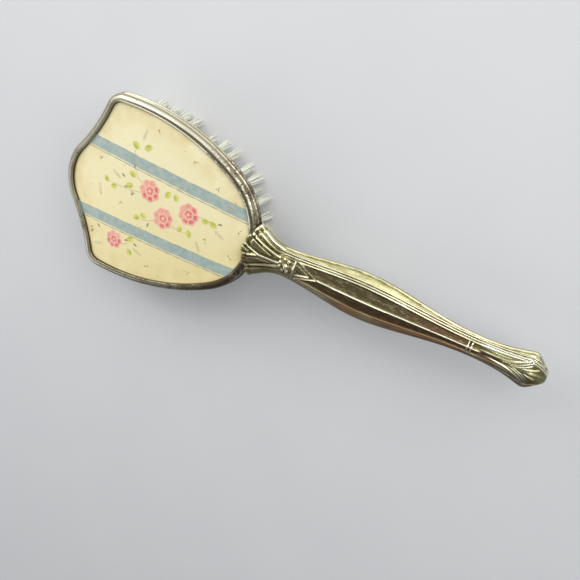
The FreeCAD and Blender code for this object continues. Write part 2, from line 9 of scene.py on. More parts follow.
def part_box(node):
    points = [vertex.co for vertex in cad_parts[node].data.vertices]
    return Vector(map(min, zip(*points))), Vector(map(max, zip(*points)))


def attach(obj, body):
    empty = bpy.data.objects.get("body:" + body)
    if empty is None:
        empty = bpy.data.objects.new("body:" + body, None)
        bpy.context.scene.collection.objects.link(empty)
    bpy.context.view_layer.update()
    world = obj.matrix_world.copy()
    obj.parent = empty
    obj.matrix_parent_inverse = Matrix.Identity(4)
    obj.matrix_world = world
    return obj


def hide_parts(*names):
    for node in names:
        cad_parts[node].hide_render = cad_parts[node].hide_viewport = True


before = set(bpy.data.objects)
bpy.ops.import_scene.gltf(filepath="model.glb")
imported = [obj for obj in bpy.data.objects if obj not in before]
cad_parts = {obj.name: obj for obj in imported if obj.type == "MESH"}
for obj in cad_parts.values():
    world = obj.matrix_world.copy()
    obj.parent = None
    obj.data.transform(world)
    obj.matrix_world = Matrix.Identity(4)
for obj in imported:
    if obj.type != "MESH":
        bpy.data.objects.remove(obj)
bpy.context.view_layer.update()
scene = bpy.context.scene
mm = 0.001  # pieces are shaped in millimetres and scaled to metres when they are finished
print("frame loaded:", len(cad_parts), "nodes")


# Small helpers
def boxOf(node):
    low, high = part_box(node)
    return low / mm, high / mm


def clamp(value):
    return min(max(value, 0.0), 1.0)


def ease(share):
    share = clamp(share)
    return share * share * (3 - 2 * share)


def ramp(value, limits):  # eases from 0 to 1 between a start and a run past it
    return ease((value - limits[0]) / limits[1])


def mix(start, end, share):
    return start + (end - start) * share


def bump(distance, halfWidth):  # a rounded rib, 1 at its crest and 0 past its half width
    return max(0.0, 1 - (distance / halfWidth) ** 2) ** 2


def ray(angle):
    return Vector((math.cos(angle), math.sin(angle)))


def arcPoints(centre, radius, fromDegrees, toDegrees, count):
    points = []
    for step in range(count + 1):
        angle = math.radians(mix(fromDegrees, toDegrees, step / count))
        points.append((centre[0] + radius * math.cos(angle), centre[1] + radius * math.sin(angle)))
    return points


def freshLoop(bm, loop):  # the verts and edges of a loop extruded from another
    grown = bmesh.ops.extrude_edge_only(bm, edges=loop)["geom"]
    verts = [item for item in grown if isinstance(item, bmesh.types.BMVert)]
    edges = [item for item in grown if isinstance(item, bmesh.types.BMEdge)]
    fresh = set(verts)
    return verts, [edge for edge in edges if fresh.issuperset(edge.verts)]


def meshFrom(bm, name):
    mesh = bpy.data.meshes.new(name)
    bm.to_mesh(mesh)
    bm.free()
    return mesh


mergeGap = 0.002  # points closer than this become one
upwards = Vector((0, 0, 1))


def finishPiece(bm, name, material, sharpDegrees=50, outward=None, smooth=True):
    bmesh.ops.remove_doubles(bm, verts=bm.verts[:], dist=mergeGap)
    bmesh.ops.recalc_face_normals(bm, faces=bm.faces[:])
    if outward is not None:  # an open sheet: turned so that its faces look the right way
        lean = sum((face.normal.dot(outward) * face.calc_area() for face in bm.faces), 0.0)
        if lean < 0:
            bmesh.ops.reverse_faces(bm, faces=bm.faces[:])
    bmesh.ops.scale(bm, vec=(mm, mm, mm), verts=bm.verts[:])
    mesh = meshFrom(bm, name)
    if smooth:
        mesh.shade_smooth()
        mesh.set_sharp_from_angle(angle=math.radians(sharpDegrees))
    mesh.materials.append(material)
    piece = bpy.data.objects.new(name, mesh)
    scene.collection.objects.link(piece)
    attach(piece, "root")
    return piece


def giveThickness(piece, thickness):
    wall = piece.modifiers.new("wall", "SOLIDIFY")
    wall.thickness = thickness * mm
    wall.offset = -1


# Material helpers
eased = {"interpolation_type": "SMOOTHSTEP"}  # for a range that starts and ends softly


def fromHex(code):
    shares = [int(code[place:place + 2], 16) / 255 for place in (1, 3, 5)]
    linear = [c / 12.92 if c <= 0.04045 else ((c + 0.055) / 1.055) ** 2.4 for c in shares]
    return (*linear, 1.0)


def setInputs(node, inputs):
    # A node's main output or a given output is linked; a number or a hex colour is set on the socket
    for socket, value in inputs.items():
        if isinstance(value, bpy.types.Node):
            value = value.outputs[2 if value.type == "MIX" else 0]
        if isinstance(value, bpy.types.NodeSocket):
            node.id_data.links.new(value, node.inputs[socket])
        else:
            node.inputs[socket].default_value = fromHex(value) if isinstance(value, str) else value


def addNode(tree, kind, inputs=None, settings=None):
    node = tree.nodes.new("ShaderNode" + kind)
    if kind == "Mix":  # always of colours: its share is input 0, the two colours are 6 and 7
        node.data_type = "RGBA"
    for name, value in (settings or {}).items():
        setattr(node, name, value)
    setInputs(node, inputs or {})
    return node


def startMaterial(name, metallic, roughness):
    material = bpy.data.materials.new(name)
    material.use_nodes = True
    shader = material.node_tree.nodes["Principled BSDF"]
    setInputs(shader, {"Metallic": metallic, "Roughness": roughness})
    add = functools.partial(addNode, material.node_tree)
    return material, add, shader, add("TexCoord").outputs["Object"]


def perMetre(millimetres):  # texture scale for a pattern of that size
    return 1 / (millimetres * mm)


# Camera, from the photograph's own view of the brush
cameraSetup = {
    "place": (76.80, 114.36),
    "abovePanel": 247.69,
    "turnDegrees": (-20.284, 22.562, 16.982),
    "lens": 40.345,
    "sensor": 36.0,
}


def makeCamera():
    data = bpy.data.cameras.new("camera")
    data.lens = cameraSetup["lens"]
    data.sensor_width = cameraSetup["sensor"]
    data.clip_start = 1 * mm
    camera = bpy.data.objects.new("camera", data)
    level = boxOf("back_panel")[1].z + cameraSetup["abovePanel"]
    camera.location = Vector((*cameraSetup["place"], level)) * mm
    camera.rotation_euler = [math.radians(turn) for turn in cameraSetup["turnDegrees"]]
    scene.collection.objects.link(camera)
    scene.camera = camera


makeCamera()
print("camera made")

# Studio, in metres: a plain pale floor, a large soft light on the +Y side and weaker ones round the brush
studio = {
    "floorSide": 6.0,
    "floor": "#D9DADB",
    "floorMottle": "#D3D4D6",
    "air": "#E8ECF2",
    "airStrength": 0.26,
    "key": {"place": (-0.26, 0.92, 0.50), "size": (1.50, 1.10), "watts": 7.2},
    "far": {"place": (-0.72, 0.40, 0.58), "size": (0.90, 0.70), "watts": 3.6},
    "top": {"place": (0.48, 0.58, 0.68), "size": (0.90, 0.90), "watts": 6.2},
    "side": {"place": (-0.80, -0.50, 0.62), "size": (0.60, 0.50), "watts": 1.5},
}


def makeFloor():
    bm = bmesh.new()
    bmesh.ops.create_grid(bm, x_segments=1, y_segments=1, size=studio["floorSide"] / 2)
    mesh = meshFrom(bm, "floor")
    # Rolled paper: matt, with a faint broad mottle
    material, add, shader, place = startMaterial("floorPaper", 0.0, 0.85)
    grain = add("TexNoise", {"Vector": place, "Scale": perMetre(60)})
    tone = add("Mix", {0: grain, 6: studio["floor"], 7: studio["floorMottle"]})
    setInputs(shader, {"Base Color": tone, "Specular IOR Level": 0.2})
    mesh.materials.append(material)
    floor = bpy.data.objects.new("floor", mesh)
    scene.collection.objects.link(floor)


def makeLights():
    for name in ("key", "far", "top", "side"):
        lamp = studio[name]
        data = bpy.data.lights.new(name, "AREA")
        data.shape = "RECTANGLE"
        data.size, data.size_y = lamp["size"]
        data.energy = lamp["watts"]
        light = bpy.data.objects.new(name, data)
        light.location = lamp["place"]
        light.rotation_euler = (-Vector(lamp["place"])).to_track_quat("-Z", "Y").to_euler()
        scene.collection.objects.link(light)
    world = bpy.data.worlds.new("air")
    world.use_nodes = True
    sky = world.node_tree.nodes["Background"]
    setInputs(sky, {"Color": studio["air"], "Strength": studio["airStrength"]})
    scene.world = world
    scene.view_settings.view_transform = "Standard"


makeFloor()
makeLights()
print("studio lit")


# Finishes
def enamelPanel():
    # Cream lacquer sprayed on sheet metal: glossy, yellowed towards the frame, with dark pin pits
    material, add, shader, place = startMaterial("creamLacquer", 0.0, 0.28)
    edge = add("Attribute", settings={"attribute_name": "fromEdge"}).outputs["Fac"]
    axes = add("SeparateXYZ", {"Vector": place}).outputs
    clouds = add("TexNoise", {"Vector": place, "Scale": perMetre(26), "Detail": 5.0, "Roughness": 0.6})
    cream = add("Mix", {0: clouds, 6: "#F7F0CA", 7: "#EFE4B6"})
    yellowing = add("MapRange", {
        "Value": axes["Y"], "From Min": -32 * mm, "From Max": 26 * mm, "To Min": 0.85, "To Max": 0.1}, eased)
    yellowed = add("Mix", {0: yellowing, 6: cream, 7: "#EFDFA2"})
    nearEdge = add("MapRange", {
        "Value": edge, "From Min": 4.0, "From Max": 18.0, "To Min": 0.8, "To Max": 0.0}, eased)
    blotch = add("TexNoise", {"Vector": place, "Scale": perMetre(9), "Detail": 4.0})
    blotched = add("MapRange", {"Value": blotch, "From Min": 0.35, "From Max": 0.7})
    ageing = add("Math", {0: nearEdge, 1: blotched}, {"operation": "MULTIPLY"})
    aged = add("Mix", {0: ageing, 6: yellowed, 7: "#DDC480"})
    pits = add("TexVoronoi", {"Vector": place, "Scale": perMetre(3.4), "Randomness": 1.0})
    pitMark = add("MapRange", {
        "Value": pits, "From Min": 0.045, "From Max": 0.085, "To Min": 0.75, "To Max": 0.0})
    pitField = add("TexNoise", {"Vector": place, "Scale": perMetre(7)})
    pitChance = add("MapRange", {"Value": pitField, "From Min": 0.44, "From Max": 0.56})
    pitted = add("Math", {0: pitMark, 1: pitChance}, {"operation": "MULTIPLY"})
    marked = add("Mix", {0: pitted, 6: aged, 7: "#6B5B38"})
    # A dark brown band where the panel meets the rim: grime, and a painted shade in the gap under the lip
    edgeGrimeAndShade = add("MapRange", {"Value": edge, "From Min": 4.1, "From Max": 4.55, "To Min": 0.9, "To Max": 0.0})
    dirtyAndShaded = add("Mix", {0: edgeGrimeAndShade, 6: marked, 7: "#3A2E1C"})
    orangePeel = add("TexNoise", {"Vector": place, "Scale": perMetre(2.2), "Detail": 3.0})
    relief = add("Bump", {"Strength": 0.12, "Distance": 0.05 * mm, "Height": orangePeel})
    setInputs(shader, {"Base Color": dirtyAndShaded, "Normal": relief, "Coat Weight": 0.25, "Coat Roughness": 0.2})
    return material


def brushedPaint(name, light, dark, worn, wearAmount):
    # Thin hand-brushed enamel: a matt colour with streaks, rubbed through in small specks
    material, add, shader, place = startMaterial(name, 0.0, 0.42)
    streaks = add("TexNoise", {"Vector": place, "Scale": perMetre(2.6), "Detail": 4.0, "Roughness": 0.65})
    tone = add("MapRange", {"Value": streaks, "From Min": 0.38, "From Max": 0.62})
    colour = add("Mix", {0: tone, 6: light, 7: dark})
    specks = add("TexNoise", {"Vector": place, "Scale": perMetre(0.9), "Detail": 3.0})
    rubbed = add("MapRange", {"Value": specks, "From Min": 0.6, "From Max": 0.72, "To Max": wearAmount})
    setInputs(shader, {"Base Color": add("Mix", {0: rubbed, 6: colour, 7: worn})})
    return material


def wornNickel():
    # Nickel-plated steel: bright and warm, dulled at the far end, with brown specks of wear and of painted
    # shade
    material, add, shader, place = startMaterial("wornNickel", 1.0, 0.2)
    axes = add("SeparateXYZ", {"Vector": place}).outputs
    clouds = add("TexNoise", {"Vector": place, "Scale": perMetre(18), "Detail": 4.0})
    plate = add("Mix", {0: clouds, 6: "#CFCAB4", 7: "#A8A184"})
    specks = add("TexNoise", {"Vector": place, "Scale": perMetre(0.9), "Detail": 6.0, "Roughness": 0.75})
    patches = add("TexNoise", {"Vector": place, "Scale": perMetre(14), "Detail": 3.0})
    both = add("Math", {0: specks, 1: patches}, {"operation": "ADD"})
    handled = add("MapRange", {
        "Value": axes["X"], "From Min": -62 * mm, "From Max": -28 * mm, "To Max": 0.3}, eased)
    # Painted shade: more brown specks on the −Y side of the rim; the extra ones towards the handle are wear
    lowSidePaintedShade = add("MapRange", {
        "Value": axes["Y"], "From Min": -30 * mm, "From Max": 5 * mm, "To Min": 0.12, "To Max": 0.0}, eased)
    worn = add("Math", {0: handled, 1: lowSidePaintedShade}, {"operation": "ADD"})
    rubbed = add("Math", {0: both, 1: worn}, {"operation": "ADD"})
    browned = add("MapRange", {"Value": rubbed, "From Min": 1.12, "From Max": 1.36, "To Max": 0.9})
    colour = add("Mix", {0: browned, 6: plate, 7: "#4A3828"})
    dulled = add("MapRange", {
        "Value": axes["X"], "From Min": -106 * mm, "From Max": -82 * mm,
        "To Min": 0.42, "To Max": 0.16}, eased)
    rough = add("MapRange", {"Value": browned, "To Min": dulled, "To Max": 0.5})
    relief = add("Bump", {"Strength": 0.1, "Distance": 0.05 * mm, "Height": specks})
    setInputs(shader, {"Base Color": colour, "Roughness": rough, "Normal": relief})
    return material


def wornGilt():
    # Gilt stamped brass: pale gold crests (polish and painted highlight), black-brown hollows, copper where
    # rubbed
    material, add, shader, place = startMaterial("wornGilt", 1.0, 0.25)
    hollow = add("Attribute", settings={"attribute_name": "hollow"}).outputs["Fac"]
    axes = add("SeparateXYZ", {"Vector": place}).outputs
    drawn = add("Mapping", {"Vector": place, "Scale": (0.3, 1.0, 1.0)})
    streaks = add("TexNoise", {"Vector": drawn, "Scale": perMetre(2.2), "Detail": 5.0, "Roughness": 0.65})
    streakTone = add("MapRange", {"Value": streaks, "From Min": 0.34, "From Max": 0.66})
    gold = add("Mix", {0: streakTone, 6: "#D2CE9E", 7: "#9A9462"})
    # Near-white gold on the crests: wear polish, and a painted highlight along the ridge lines
    crest = add("MapRange", {
        "Value": hollow, "From Min": 0.05, "From Max": 0.3, "To Min": 0.85, "To Max": 0.0})
    crestPolishAndHighlight = add("Mix", {0: crest, 6: gold, 7: "#F7F4DC"})
    copperField = add("TexNoise", {"Vector": drawn, "Scale": perMetre(5), "Detail": 5.0, "Roughness": 0.6})
    towardsEnd = add("MapRange", {
        "Value": axes["X"], "From Min": 35 * mm, "From Max": 75 * mm, "To Max": 0.3}, eased)
    # Painted shade: the −Y side of the handle is made darker; the same mask also places the copper there
    lowSideShadeAndCopper = add("MapRange", {
        "Value": axes["Y"], "From Min": -3.4 * mm, "From Max": 0.3 * mm,
        "To Min": 0.72, "To Max": 0.0}, eased)
    pastBracts = add("MapRange", {"Value": axes["X"], "From Min": 12 * mm, "From Max": 40 * mm}, eased)
    pastRing = add("MapRange", {"Value": axes["X"], "From Min": 80 * mm, "From Max": 92 * mm}, eased)
    beforeRing = add("Math", {0: pastBracts, 1: pastRing}, {"operation": "SUBTRACT"})
    copperShare = add("Math", {0: lowSideShadeAndCopper, 1: 0.36}, {"operation": "MULTIPLY"})
    copperSide = add("Math", {0: copperShare, 1: beforeRing, 2: copperField}, {"operation": "MULTIPLY_ADD"})
    towardsRing = add("Math", {0: towardsEnd, 1: beforeRing}, {"operation": "MULTIPLY"})
    copperEnd = add("Math", {0: towardsRing, 1: hollow, 2: copperSide}, {"operation": "MULTIPLY_ADD"})
    copperAmount = add("MapRange", {"Value": copperEnd, "From Min": 0.58, "From Max": 0.74, "To Max": 0.85})
    coppered = add("Mix", {0: copperAmount, 6: crestPolishAndHighlight, 7: "#B08262"})
    mottle = add("TexNoise", {"Vector": drawn, "Scale": perMetre(1.0), "Detail": 6.0, "Roughness": 0.7})
    darkSum = add("Math", {0: hollow, 1: 0.45, 2: mottle}, {"operation": "MULTIPLY_ADD"})
    sooted = add("MapRange", {"Value": darkSum, "From Min": 0.74, "From Max": 0.94, "To Max": 0.93})
    # The painted shade grows past the ring; the darkness is the stronger of the hollows' patina and the
    # painted shade
    endShade = add("Math", {0: pastRing, 1: 0.2, 2: 1.0}, {"operation": "MULTIPLY_ADD"})
    lowShade = add("Math", {0: lowSideShadeAndCopper, 1: endShade}, {"operation": "MULTIPLY"})
    darkness = add("Math", {0: sooted, 1: lowShade}, {"operation": "MAXIMUM"})
    # Dark colour for the patina in the hollows and for the painted shade on the −Y side
    sootAndPaintedShade = add("Mix", {0: copperField, 6: "#281B08", 7: "#5C4A2C"})
    colour = add("Mix", {0: darkness, 6: coppered, 7: sootAndPaintedShade})
    rough = add("MapRange", {"Value": darkness, "To Min": 0.22, "To Max": 0.48})
    bare = add("MapRange", {"Value": darkness, "To Min": 1.0, "To Max": 0.55})
    relief = add("Bump", {"Strength": 0.3, "Distance": 0.06 * mm, "Height": mottle})
    setInputs(shader, {"Base Color": colour, "Roughness": rough, "Metallic": bare, "Normal": relief})
    return material


def nylonBristle():
    # Extruded nylon: pale greenish white, a little see-through, glossy along the filament
    material, add, shader, place = startMaterial("nylonBristle", 0.0, 0.35)
    tint = add("TexNoise", {"Vector": place, "Scale": perMetre(1.2)})
    colour = add("Mix", {0: tint, 6: "#F7F8EC", 7: "#E4E7D0"})
    setInputs(shader, {
        "Base Color": colour, "Subsurface Weight": 0.15, "Subsurface Scale": 0.3 * mm, "IOR": 1.53})
    return material


def mouldedPlastic():
    # Injection-moulded ivory plastic: satin, with faint flow clouding and fine grain
    material, add, shader, place = startMaterial("ivoryPlastic", 0.0, 0.38)
    clouds = add("TexNoise", {"Vector": place, "Scale": perMetre(20), "Detail": 3.0})
    colour = add("Mix", {0: clouds, 6: "#EEE7D2", 7: "#DED3B4"})
    grain = add("TexNoise", {"Vector": place, "Scale": perMetre(0.6)})
    relief = add("Bump", {"Strength": 0.15, "Distance": 0.03 * mm, "Height": grain})
    setInputs(shader, {"Base Color": colour, "Normal": relief, "IOR": 1.5})
    return material


def hiddenFinish(name, metallic, roughness, light, dark, grainSize):
    # Inner pieces in steel, wire, pulp board and wood: each a two-tone grain, coarse enough to show
    material, add, shader, place = startMaterial(name, metallic, roughness)
    grain = add("TexNoise", {"Vector": place, "Scale": perMetre(grainSize), "Detail": 5.0})
    setInputs(shader, {"Base Color": add("Mix", {0: grain, 6: light, 7: dark})})
    return material


lacquer = enamelPanel()
nickel = wornNickel()
gilt = wornGilt()
nylon = nylonBristle()
ivory = mouldedPlastic()
print("finishes mixed")

# Head outline: arcs from the far end round to the neck, the same sizes as the frame's own parts
headSizes = {
    "bulge": 24.2,
    "hollow": 82.1,
    "corner": 9.3,
    "side": 108.0,
    "neck": 33.7,
    "cornerSetback": 25.2,
    "cornerSpread": 69.2,
    "meshStep": 0.55,
}
bezelLow, bezelHigh = boxOf("front_bezel")
headFarX, headNeckX = bezelLow.x, bezelHigh.x
headMidX = (headFarX + headNeckX) / 2


def meetCircles(first, firstReach, second, secondReach, side):
    gap = second - first
    along = (firstReach ** 2 - secondReach ** 2 + gap.length_squared) / (2 * gap.length)
    rise = math.sqrt(firstReach ** 2 - along ** 2)
    straight = gap.normalized()
    return first + straight * along + Vector((-straight.y, straight.x, 0)) * rise * side


def bearing(start, end):
    return math.atan2(end.y - start.y, end.x - start.x)


def halfArcs():
    # Centre, radius, first and last angle, and whether it curves outwards, on the +Y half
    h = headSizes
    bulge = Vector((headFarX + h["bulge"], 0, 0))
    corner = Vector((headFarX + h["cornerSetback"], h["cornerSpread"] / 2, 0))
    neck = Vector((headNeckX - h["neck"], 0, 0))
    hollow = meetCircles(bulge, h["bulge"] + h["hollow"], corner, h["hollow"] + h["corner"], 1)
    side = meetCircles(corner, h["side"] - h["corner"], neck, h["side"] - h["neck"], -1)
    return [
        (bulge, h["bulge"], math.pi, bearing(bulge, hollow), 1),
        (hollow, h["hollow"], bearing(hollow, bulge), bearing(hollow, corner), -1),
        (corner, h["corner"], bearing(corner, hollow), bearing(side, corner), 1),
        (side, h["side"], bearing(side, corner), bearing(side, neck), 1),
        (neck, h["neck"], bearing(side, neck), 0.0, 1),
    ]


outlineArcs = halfArcs()


def edgeGap(x, y):
    # Distance in from the head's outer edge, negative outside it
    gaps = []
    point = Vector((x, abs(y), 0))
    for centre, radius, first, last, turn in outlineArcs:
        angle = bearing(centre, point)
        if min(first, last) <= angle <= max(first, last):
            gaps.append(turn * (radius - (point - centre).length))
    return min(gaps, key=abs) if gaps else -1.0


def sweepRound(bm, strip):
    # Spins a strip that stands at the far end round every arc of the outline in turn
    path = [(centre, last - first, radius) for centre, radius, first, last, turn in outlineArcs]
    for centre, sweep, radius in path[::-1]:
        path.append((Vector((centre.x, -centre.y, 0)), sweep, radius))
    for centre, sweep, radius in path:
        steps = max(2, round(abs(sweep) * radius / headSizes["meshStep"]))
        spun = bmesh.ops.spin(bm, geom=strip, cent=centre, axis=(0, 0, 1), angle=sweep, steps=steps)
        strip = spun["geom_last"]


def profileStrip(bm, profile):
    verts = [bm.verts.new((headFarX + inset, 0, height)) for inset, height in profile]
    return verts + [bm.edges.new(pair) for pair in zip(verts, verts[1:])]


def sweptFrame(profile, name):
    bm = bmesh.new()
    sweepRound(bm, profileStrip(bm, profile))
    return finishPiece(bm, name, nickel, sharpDegrees=40)


# Rear bezel: a rolled rim over the panel's edge, with a groove and a bead on its side
rim = {
    "lipInset": 4.0,
    "rollRise": 2.05,
    "skirtInset": 0.5,
    "sheet": 0.6,
    "lipRound": 0.22,
    "grooveDrop": 0.75,
    "grooveDepth": 0.3,
    "beadDrop": 1.45,
    "beadRadius": 0.42,
    "innerArc": (175, 8, 8),  # first and last degrees, steps; the roll's lip end is past the lip's angle
    "lipArc": (-80, 60, 5),
    "outerArc": (4, 180, 20),
    "beadArc": (110, 250, 8),
}
rearLow, rearHigh = boxOf("rear_bezel")
rollWidth = rim["lipInset"] - rim["skirtInset"]
rollRadius = (rollWidth ** 2 + rim["rollRise"] ** 2) / (2 * rollWidth)
shoulderZ = rearHigh.z - rollRadius


def makeRearBezel():
    r = rim
    lipTop = shoulderZ + r["rollRise"]
    lipDegrees = math.degrees(math.asin(r["rollRise"] / rollRadius))
    skirt = r["skirtInset"]
    wallInside = skirt + r["sheet"]
    rollCentre = (skirt + rollRadius, shoulderZ)
    lipCentre = (r["lipInset"] - r["lipRound"], lipTop - r["lipRound"])
    first, last, steps = r["innerArc"]
    profile = [(wallInside, rearLow.z), (wallInside, shoulderZ)]
    profile += arcPoints(rollCentre, rollRadius - r["sheet"], first, lipDegrees + last, steps)
    profile += arcPoints(lipCentre, r["lipRound"], *r["lipArc"])
    first, last, steps = r["outerArc"]
    profile += arcPoints(rollCentre, rollRadius, lipDegrees + first, last, steps)
    grooveZ = shoulderZ - r["grooveDrop"]
    profile += [(skirt, grooveZ + r["grooveDepth"]), (skirt + r["grooveDepth"], grooveZ)]
    beadCentre = (skirt + r["grooveDepth"] / 2, shoulderZ - r["beadDrop"])
    profile += arcPoints(beadCentre, r["beadRadius"], *r["beadArc"])
    profile += [(skirt, rearLow.z), (wallInside, rearLow.z)]
    piece = sweptFrame(profile, "rearBezelRim")
    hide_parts("rear_bezel")
    print("rear bezel:", len(piece.data.polygons), "faces")


makeRearBezel()

# Front bezel: a pan with a rolled bead at the seam, open over the bristles
pan = {
    "flangeInset": 1.4,
    "beadRadius": 0.6,
    "draft": 1.7,
    "lip": 2.4,
    "sheet": 0.6,
    "cornerRound": 0.7,
    "lipBreak": 0.1,
    "beadArc": (90, 262, 14),  # first and last degrees and steps
    "cornerArc": (205, 270, 5),
}


def makeFrontBezel():
    p = pan
    joinZ = bezelHigh.z
    beadZ = joinZ - p["beadRadius"]
    wallInset = p["beadRadius"] + p["draft"]
    lipInset = wallInset + p["lip"]
    low = bezelLow.z
    cornerCentre = (wallInset + p["cornerRound"], low + p["cornerRound"])
    profile = [(p["flangeInset"], joinZ)]
    profile += arcPoints((p["beadRadius"], beadZ), p["beadRadius"], *p["beadArc"])
    profile += arcPoints(cornerCentre, p["cornerRound"], *p["cornerArc"])
    profile += [(lipInset - p["lipBreak"], low), (lipInset, low + p["lipBreak"])]
    profile += [(lipInset, low + p["sheet"])]
    profile += [(wallInset + p["sheet"], low + p["sheet"]), (p["flangeInset"], beadZ)]
    profile += [(p["flangeInset"], joinZ)]
    piece = sweptFrame(profile, "frontBezelPan")
    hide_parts("front_bezel")
    print("front bezel:", len(piece.data.polygons), "faces")


makeFrontBezel()

# Back panel: a gently domed sheet under the rim
dome = {
    "rise": 2.67,
    "reach": 67.03,
    "edgeInsets": (2.3, 3.6, 4.0, 4.2, 4.5, 5.0, 5.8, 7.0),
    "rings": 22,
    "sheet": 0.5,
}
panelTop = boxOf("back_panel")[1].z


def domeZ(x, y):
    away = math.hypot(x - headMidX, y) / dome["reach"]
    return panelTop - dome["rise"] * away ** 2


def headTopZ(x, y):
    # Height of the head's upper side: the rolled rim at the edge, the dome inside it
    gap = edgeGap(x, y)
    if gap >= rim["lipInset"]:
        return domeZ(x, y)
    if gap < rim["skirtInset"]:
        return rearLow.z
    reach = gap - rim["skirtInset"] - rollRadius
    return shoulderZ + math.sqrt(max(0.0, rollRadius ** 2 - reach ** 2))


def makePanel():
    bm = bmesh.new()
    fromEdge = bm.verts.layers.float.new("fromEdge")
    strip = profileStrip(bm, [(inset, panelTop) for inset in dome["edgeInsets"]])
    for vert, inset in zip(strip, dome["edgeInsets"]):
        vert[fromEdge] = inset
    sweepRound(bm, strip)
    bmesh.ops.remove_doubles(bm, verts=bm.verts[:], dist=mergeGap)
    middle = Vector((headMidX, 0, panelTop))
    innermost = dome["edgeInsets"][-1]
    loop = [edge for edge in bm.edges if edge.is_boundary
            and all(abs(vert[fromEdge] - innermost) < mergeGap for vert in edge.verts)]
    for ring in range(dome["rings"], 1, -1):
        verts, loop = freshLoop(bm, loop)
        inwards = (ring - 1) / ring
        bmesh.ops.scale(bm, vec=(inwards, inwards, 1), space=Matrix.Translation(-middle), verts=verts)
        for vert in verts:
            vert[fromEdge] += (vert.co.xy - middle.xy).length / (ring - 1)
    bmesh.ops.edgeloop_fill(bm, edges=loop)
    for vert in bm.verts:
        vert.co.z = domeZ(vert.co.x, vert.co.y)
    piece = finishPiece(bm, "decoratedPanel", lacquer, sharpDegrees=60, outward=upwards)
    giveThickness(piece, dome["sheet"])
    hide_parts("back_panel")
    print("panel:", len(piece.data.polygons), "faces")


makePanel()

# Painted decoration: thin films of enamel that lie on the dome
paint = {
    "lift": 0.045,  # of the lowest film above the lacquer
    "layer": 0.02,  # between one film and the next
    "film": 0.02,
    "tuckInset": 3.3,  # bands run on under the rim
    "tuckSteps": 20,  # halvings with which the band's end is found
    "seed": 11,
    "bandWidth": 5.2,
    "bandGrid": (110, 4),
    "bandWaves": ((0.07, 23), (0.05, 61)),  # unsteadiness of the hand: reach, and waves along the band
    "edgeWave": (0.05, 97),
    "phases": 4,  # drawn for each band; the last is left over
    "phaseReach": 6.28,
    "lineWidth": 0.4,
    "lineGap": 0.8,
    "bands": (((-38.7, 18.5), (44.0, 13.1)), ((-40.0, -16.5), (42.6, -16.1))),
    "roses": ((-4.7, 6.0, 5.3), (4.7, -4.0, 5.2), (16.9, 2.9, 5.2), (-19.5, -25.1, 4.5)),
    "leaves": (
        (-16.1, 23.8, 150), (-9.6, 24.8, 35), (-15.2, 10.3, 160), (-15.8, 4.6, 200), (-24.1, 1.0, 20),
        (-28.6, 3.1, 130), (4.8, 7.8, 60), (9.0, 8.0, 110), (-9.2, -9.0, 215), (-5.9, -6.9, 160),
        (13.8, -5.6, 250), (18.9, -6.0, 300), (25.5, 2.9, 20), (29.6, 2.9, 340), (-10.0, -28.1, 310),
        (-10.6, -21.3, 30),
    ),
    "stems": (
        ((-9.0, 8.5), (-15.0, 9.0), (-16.0, 22.5)), ((-8.0, 4.0), (-16.0, 1.5), (-27.5, 2.6)),
        ((0.5, -6.5), (-4.0, -9.5), (-9.0, -9.0)), ((21.0, 3.5), (26.0, 4.5), (30.0, 2.9)),
        ((9.0, -5.5), (13.0, -7.0), (19.0, -6.2)), ((-16.0, -26.0), (-12.5, -25.5), (-10.3, -22.0)),
    ),
    "sprigs": (
        (-33.2, 11.3), (-19.4, -5.4), (-13.3, 1.6), (42.3, 4.9), (40.8, -8.9), (0.5, -31.1),
        (22.4, -25.1), (14.7, 27.2), (-6.1, 33.4), (27.6, -5.9), (27.8, 19.6), (-33.1, -24.5),
    ),
    "greyLeaves": (
        (-13.5, 1.1, 230), (-17.5, 3.3, 200), (-19.9, 8.0, 150), (-14.8, 14.2, 100), (-32.6, -25.9, 240),
        (-29.3, -21.8, 140), (-2.6, -10.4, 260), (-7.4, -23.1, 340), (-12.6, -22.7, 20), (32.9, 4.3, 10),
    ),
    "ferns": (
        (-21.0, 6.0, 155), (31.0, 0.6, 335), (-5.5, -12.5, 235), (-8.5, -25.5, 345), (23.0, -8.0, 305),
        (-13.0, 27.0, 80), (-30.5, -6.0, 110), (9.5, 11.0, 75), (35.0, 12.0, 60), (-26.0, -30.0, 200),
    ),
    "fernLength": 5.4,
    "fernPairs": 5,
    "fernStroke": (1.7, 0.2),  # length and width of its longest strokes
    "fernTurn": 42,
    "fernTaper": 0.5,
    "grey": (2.4, 1.0),  # length and width
    "leaf": (4.0, 2.8),
    "leafSizes": (0.85, 1.1),
    "leafShade": (0.36, 0.2),  # half its length and width, as shares of the leaf's
    "leafPoint": 0.5,
    "stemWidth": 0.3,
    "stemTaper": 0.6,
    "stemSegments": 14,
    "scallop": 0.07,
    "strokeSegments": 8,
    "sprigStrokes": 4,
    "sprigReach": 1.0,
    "sprigAway": (0.4, 1.0),
    "sprigWidth": 0.36,
    "sprigPoint": 0.3,
}
